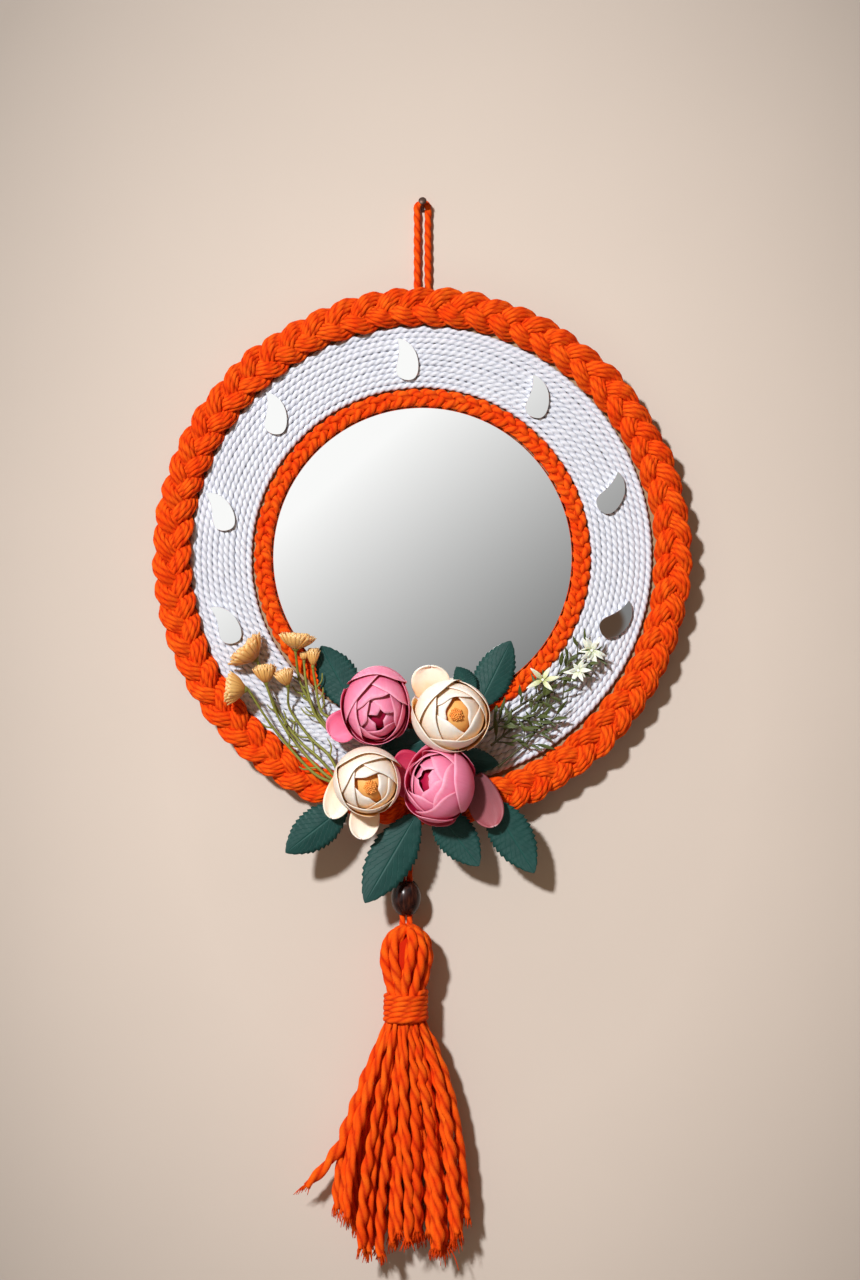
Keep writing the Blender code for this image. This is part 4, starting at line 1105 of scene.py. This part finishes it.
def leaves_and_petals(cloths, leaf):
    """The leaves, the dark leaves under the heads that partly stand in for the shade between them, and the
    loose petals.
    """
    for name, base, tip, width in LEAVES:
        blade(f"{name}_blade", name, leaf, "leaf_cloth", base, tip, width, 84, 8, leaf_half, leaf_lift)
    for number, (base, tip, width) in enumerate(BED_LEAVES, start=1):
        blade(f"bed_leaf_{number}", None, leaf, "leaf_cloth", base, tip, width, 40, 8, leaf_half, leaf_lift)
    for name, kind, base, tip, width in PETALS:
        slot = "cream_cloth" if kind == "cream" else "pink_cloth"
        blade(f"{name}_blade", name, cloths[f"{kind}_petal_cloth"], slot, base, tip, width, 16, 14,
              petal_half, petal_lift, 0.5 * MM, DARK_PETALS.get(name, 0.0))


BUTTONS = (
    # name, the stem's points, radius of the open flower, its length, the way it looks
    ("button_flower_1", ((-38.0, 20.0, -115.895), (-51.0, 21.0, -100.5), (-62.0, 15.5, -91.0),
                         (-73.0, 15.0, -75.0), (-80.5, 15.2, -57.0), (-82.0, 17.5, -52.0)),
     9.0, 10.5, (-0.70, 0.10, 0.70)),
    ("button_flower_2", ((-38.0, 23.5, -114.32), (-48.0, 24.5, -108.0), (-59.0, 18.8, -97.5),
                         (-71.0, 18.5, -81.0), (-77.4, 21.8, -64.0)), 5.0, 10.0, (-0.10, 0.05, 1.00)),
    ("button_flower_3", ((-38.0, 21.6, -113.585), (-46.0, 22.6, -111.5), (-56.0, 22.2, -105.5),
                         (-74.0, 21.8, -85.0), (-86.0, 27.5, -66.0)), 7.0, 11.0, (-1.00, 0.05, 0.10)),
    ("button_flower_4", ((-38.0, 17.5, -116.105), (-46.0, 18.5, -99.5), (-56.0, 15.0, -90.0),
                         (-66.0, 15.0, -76.0), (-66.5, 23.0, -65.0)), 4.3, 9.0, (-0.30, 0.15, 0.95)),
    ("button_flower_5", ((-43.0, 15.8, -88.0), (-50.7, 15.8, -80.5), (-60.6, 15.8, -63.3),
                         (-63.0, 22.5, -47.0)), 7.6, 8.5, (0.10, 0.05, 1.00)),
    ("button_flower_6", ((-43.0, 18.6, -81.0), (-50.4, 18.6, -76.7), (-53.4, 18.6, -62.0),
                         (-54.4, 20.0, -55.5)), 2.8, 9.5, (0.02, 0.05, 1.00)),
    ("button_bud", ((-46.5, 18.6, -86.5), (-53.6, 18.6, -77.9), (-57.6, 18.6, -64.0),
                    (-58.9, 18.4, -52.5)), 1.9, 5.0, (0.00, 0.00, 1.00)),
)


def button_stem(name, route, aim, rim, length, material, rng):
    """A thin stem with three side shoots and the small cup under its flower."""
    neck = route[-1]
    stems = Batch()
    for start in (0.3, 0.5, 0.68):
        index = int(start * (len(route) - 1))
        at = route[index]
        ahead = route[index + 1] - at
        ahead /= np.linalg.norm(ahead)
        out = np.cross(ahead, FRONT) * rng.choice((-1.0, 1.0))
        reach = rng.uniform(4.5, 8.5) * MM
        shoot = catmull([at, at + (ahead * 0.5 + out * 0.5) * reach,
                         at + (ahead * 1.05 + out * 0.6) * reach], 1.5 * MM)
        taper = np.interp(np.linspace(0.0, 1.0, len(shoot)), (0.0, 0.8, 1.0), (0.5, 0.38, 0.2)) * MM
        stalk(stems, shoot, taper, 6)
    route = np.vstack([route, neck + aim * 1.0 * MM])
    thick = np.interp(np.linspace(0.0, 1.0, len(route)), (0.0, 0.9, 1.0), (0.82, 0.60, 0.8)) * MM
    stalk(stems, route, thick, 8)
    cup_at = catmull([neck, neck + aim * length * 0.12 * MM, neck + aim * length * 0.30 * MM], 0.5 * MM)
    cup = np.interp(np.linspace(0.0, 1.0, len(cup_at)), (0.0, 0.5, 1.0),
                    (0.8, rim * 0.24 + 0.3, rim * 0.27)) * MM
    stalk(stems, cup_at, cup, 12)
    piece(f"{name}_stem", stems.mesh(f"{name}_stem", "leaf"), material, "stem_plastic", name)


def button_fan(name, neck, aim, rim, length, material, rng):
    """Five rings of straps, the outer ones open and the inner ones nearly upright."""
    across = np.cross(aim, FRONT)
    across /= np.linalg.norm(across)
    toward = np.cross(across, aim)
    fan = Batch()
    rings = ((22, 1.16, 0.92), (20, 0.92, 1.02), (16, 0.66, 1.05), (11, 0.38, 1.02), (6, 0.14, 0.96))
    for ring, (count, open_share, reach) in enumerate(rings):
        for number in range(count):
            turn = math.tau * (number + rng.uniform(-0.16, 0.16)) / count + ring
            out = across * math.cos(turn) + toward * math.sin(turn)
            end_out = rim * open_share * rng.uniform(0.92, 1.06)
            end_up = length * reach * rng.uniform(0.93, 1.04)
            points = [neck + (aim * length * 0.12 + out * rim * 0.16 * open_share) * MM,
                      neck + (aim * length * 0.52 + out * end_out * 0.72) * MM,
                      neck + (aim * end_up + out * end_out) * MM]
            half = math.pi * rim * (0.3 + 0.7 * open_share) / count * rng.uniform(0.95, 1.15)
            narrow_petal(fan, points, np.cross(aim, out), out, half * MM)
    piece(f"{name}_fan", fan.mesh(f"{name}_fan", "leaf"), material, "ochre_cloth")


def button_flowers(petal_material, stem_material):
    """Ochre button flowers, each a stem and a fan of straps."""
    rng = random.Random(11)
    for name, stem, rim, length, (aim_across, aim_back, aim_up) in BUTTONS:
        route = catmull([ring_point(p) for p in stem], 2.0 * MM)
        aim = np.array((aim_across, -aim_back, aim_up))
        aim /= np.linalg.norm(aim)
        button_stem(name, route, aim, rim, length, stem_material, rng)
        button_fan(name, route[-1], aim, rim, length, petal_material, rng)


def narrow_petal(batch, points, wide, out, half):
    """A narrow strap with a raised middle, blunt and rounded at its end."""
    path = catmull(points, 1.6 * MM)
    rows = len(path) - 1
    share = np.linspace(0.0, 1.0, rows + 1)
    width = half * np.interp(share, (0.0, 0.6, 0.88, 1.0), (0.35, 0.95, 1.0, 0.45))
    bulge = out * 0.42 * half
    columns = ((-1.0, 0.0), (-0.7, 0.75), (0.0, 1.0), (0.7, 0.75), (1.0, 0.0))
    verts = np.stack([path + wide * width[:, None] * across + bulge * share[:, None] * rise
                      for across, rise in columns], axis=1).reshape(-1, 3)
    # Painted shade: each strap's long edges go most of the way to the cloth's inner tone, for the shade
    # between neighbouring straps.
    dark = np.tile((0.9, 0.15, 0.0, 0.15, 0.9), rows + 1)
    thick_sheet(batch, verts, 4, rows, unit_uvs(4, rows), 0.2 * MM, dark, dark)


TWIGS = (
    ("twig_1", ((33.0, 18.0, -86.4), (44.0, 15.0, -77.4), (56.5, 15.4, -68.9),
                (69.0, 15.2, -58.9), (84.0, 16.0, -46.4))),
    ("twig_2", ((34.0, 18.0, -93.9), (46.5, 15.0, -84.4), (59.0, 15.0, -76.4), (72.5, 16.0, -69.4))),
    ("twig_3", ((37.5, 18.0, -104.4), (51.0, 15.0, -93.4), (59.0, 15.0, -84.4), (69.5, 15.5, -82.4))),
)
BLOSSOMS = (
    # name, middle, radius, petals, how wide a petal is for its length
    ("blossom_1", (59.8, 19.5, -61.2), 8.8, 5, 0.15),
    ("blossom_2", (77.5, 19.0, -56.6), 5.8, 9, 0.22),
    ("blossom_3", (84.2, 19.5, -46.6), 6.8, 10, 0.22),
)


def small_leaf(batch, base, heading, length, half, rng):
    """A narrow pointed leaf, folded along its middle and bent a little."""
    columns, rows = 2, 5
    heading = heading / np.linalg.norm(heading)
    wide = np.cross(heading, FRONT)
    wide /= np.linalg.norm(wide)
    face = np.cross(wide, heading)
    roll = rng.uniform(-0.7, 0.7)
    c, s = math.cos(roll), math.sin(roll)
    wide, face = wide * c + face * s, face * c - wide * s
    bend = rng.uniform(-0.25, 0.25)
    u, v = np.meshgrid(np.linspace(-1.0, 1.0, columns + 1), np.linspace(0.0, 1.0, rows + 1))
    width = half * np.interp(v, (0.0, 0.35, 0.7, 1.0), (0.25, 1.0, 0.75, 0.06))
    side = (u * width + bend * length * v * v)[:, :, None] * wide
    verts = (base + side + (v * length)[:, :, None] * heading
             + (np.abs(u) * width * 0.5)[:, :, None] * face).reshape(-1, 3)
    thick_sheet(batch, verts, columns, rows, unit_uvs(columns, rows), 0.22 * MM)


def leafy_shoot(twigs, leaves, start, tangent, side_sign, rng):
    """A side shoot of a twig, with a leaf half way along it and one at its end."""
    across = np.cross(tangent, FRONT) * side_sign
    lean = tangent * rng.uniform(0.5, 1.2) + across * rng.uniform(0.5, 1.1)
    lean = lean + FRONT * rng.uniform(-0.1, 0.5)
    lean /= np.linalg.norm(lean)
    reach = rng.uniform(3.5, 8.0) * MM
    shoot = catmull([start, start + lean * reach * 0.5 + FRONT * 0.4 * MM, start + lean * reach], 1.5 * MM)
    stalk(twigs, shoot, np.linspace(0.42, 0.28, len(shoot)) * MM, 5)
    for at in (0.5, 1.0):
        spot = shoot[int(at * (len(shoot) - 1))]
        aim = lean + across * rng.uniform(-0.9, 0.9) + FRONT * rng.uniform(-0.2, 0.6)
        small_leaf(leaves, spot, aim, rng.uniform(5.0, 9.5) * MM, rng.uniform(0.7, 1.2) * MM, rng)


def blossom(name, middle, radius, petals, slim, material, rng):
    """A small pale flower of narrow petals round a knob."""
    batch = Batch()
    centre = ring_point(middle)
    for number in range(petals):
        turn = math.tau * (number + rng.uniform(-0.3, 0.3)) / petals
        reach = radius * rng.uniform(0.8, 1.3) * MM
        out = np.array((math.cos(turn), rng.uniform(-0.6, 0.1), math.sin(turn)))
        small_leaf(batch, centre, out, reach, radius * slim * MM, rng)
    knob = np.array([centre + FRONT * d * MM for d in (-1.5, 0.4, 1.4)])
    stalk(batch, knob, np.array((0.6, 1.0, 0.5)) * MM, 8)
    piece(f"{name}_petals", batch.mesh(f"{name}_petals", "leaf"), material, "pale_cloth", name)


def sprig(leaf_material, twig_material, star_material, blossom_material):
    """Dark forked twigs with narrow leaves, and pale blossoms at their ends."""
    rng = random.Random(23)
    for name, points in TWIGS:
        path = catmull([ring_point(p) for p in points], 1.5 * MM)
        twigs = Batch()
        leaves = Batch()
        stalk(twigs, path, np.linspace(0.75, 0.4, len(path)) * MM, 6)
        tangent = unit(np.gradient(path, axis=0))
        for index in range(2, len(path) - 2, 3):
            for side_sign in (-1.0, 1.0):
                if rng.random() >= 0.30:
                    leafy_shoot(twigs, leaves, path[index], tangent[index], side_sign, rng)
        piece(f"{name}_wood", twigs.mesh(f"{name}_wood", "leaf"), twig_material, "stem_plastic", name)
        piece(f"{name}_leaves", leaves.mesh(f"{name}_leaves", "leaf"), leaf_material, "stem_plastic")
    for name, middle, radius, petals, slim in BLOSSOMS:
        material = star_material if petals == 5 else blossom_material
        blossom(name, middle, radius, petals, slim, material, rng)


# The tones of each petal cloth: heart, middle, edge, rim and inner side, then how strong its veins are
PETAL_TONES = {
    # The pink cloth's dark heart is painted shade where each petal's foot goes under the petals around it.
    "pink_petal_cloth": ((0.50, 0.02, 0.09), (0.80, 0.140, 0.27), (0.88, 0.250, 0.40),
                         (0.91, 0.36, 0.50), (0.44, 0.003, 0.050), 0.3),
    "cream_petal_cloth": ((0.80, 0.47, 0.22), (0.88, 0.71, 0.56), (0.91, 0.81, 0.71),
                          (0.93, 0.87, 0.80), (0.88, 0.46, 0.13), 0.15),
    # A pink cloth darkened all over by painted shadow, with a pale rim.
    "painted_shade_pink_petal_cloth": ((0.15, 0.018, 0.028), (0.23, 0.038, 0.052), (0.36, 0.09, 0.11),
                          (0.85, 0.58, 0.62), (0.30, 0.01, 0.03), 0.3),
    "ochre_petal_cloth": ((0.52, 0.20, 0.035), (0.82, 0.40, 0.10), (0.92, 0.54, 0.19),
                          (0.95, 0.66, 0.32), (0.50, 0.17, 0.022), 0.3),
    "pale_blossom_cloth": ((0.40, 0.43, 0.12), (0.76, 0.77, 0.48), (0.87, 0.87, 0.68),
                           (0.92, 0.91, 0.80), (0.5, 0.5, 0.2), 0.3),
    "white_blossom_cloth": ((0.62, 0.64, 0.38), (0.82, 0.83, 0.68), (0.88, 0.89, 0.81),
                            (0.92, 0.92, 0.87), (0.6, 0.6, 0.4), 0.3),
    "stamen_cloth": ((0.25, 0.05, 0.008), (0.55, 0.14, 0.015), (0.85, 0.26, 0.04),
                     (0.92, 0.36, 0.07), (0.5, 0.1, 0.01), 0.3),
}


def main():
    set_camera()
    # Each cotton's third tone is its deep tone, used for darker fibres and for the painted shade in the
    # grooves.
    orange = cotton("orange_cotton", (0.90, 0.070, 0.001), (0.99, 0.175, 0.008), (0.44, 0.005, 0.0))
    hanging_loop(orange)
    suspension_cords(orange)
    set_world()
    set_lights()
    set_stage()
    bpy.context.scene.view_settings.view_transform = "Standard"

    mirror = glass_mirror()
    leaf = leaf_cloth()
    cloths = {name: petal_cloth(name, *tones) for name, tones in PETAL_TONES.items()}
    board_and_mirrors(plain_wood_board(), mirror)
    nail_piece(browned_steel())
    bead_piece(dark_bead_wood())
    braids(orange)
    white_spiral(cotton("white_cotton", (0.80, 0.825, 0.90), (0.86, 0.88, 0.94), (0.40, 0.41, 0.48)))
    tassel_head(orange)
    tassel_wrap(orange)
    tassel_skirt(orange)
    round_heads(cloths, leaf)
    leaves_and_petals(cloths, leaf)
    button_flowers(cloths["ochre_petal_cloth"],
                   stem_skin("olive_stem", (0.085, 0.095, 0.008), (0.30, 0.30, 0.045)))
    sprig(stem_skin("dark_olive_leaf", (0.016, 0.026, 0.004), (0.105, 0.130, 0.022)),
          stem_skin("dark_twig", (0.030, 0.028, 0.010), (0.085, 0.080, 0.022)),
          cloths["pale_blossom_cloth"], cloths["white_blossom_cloth"])


main()
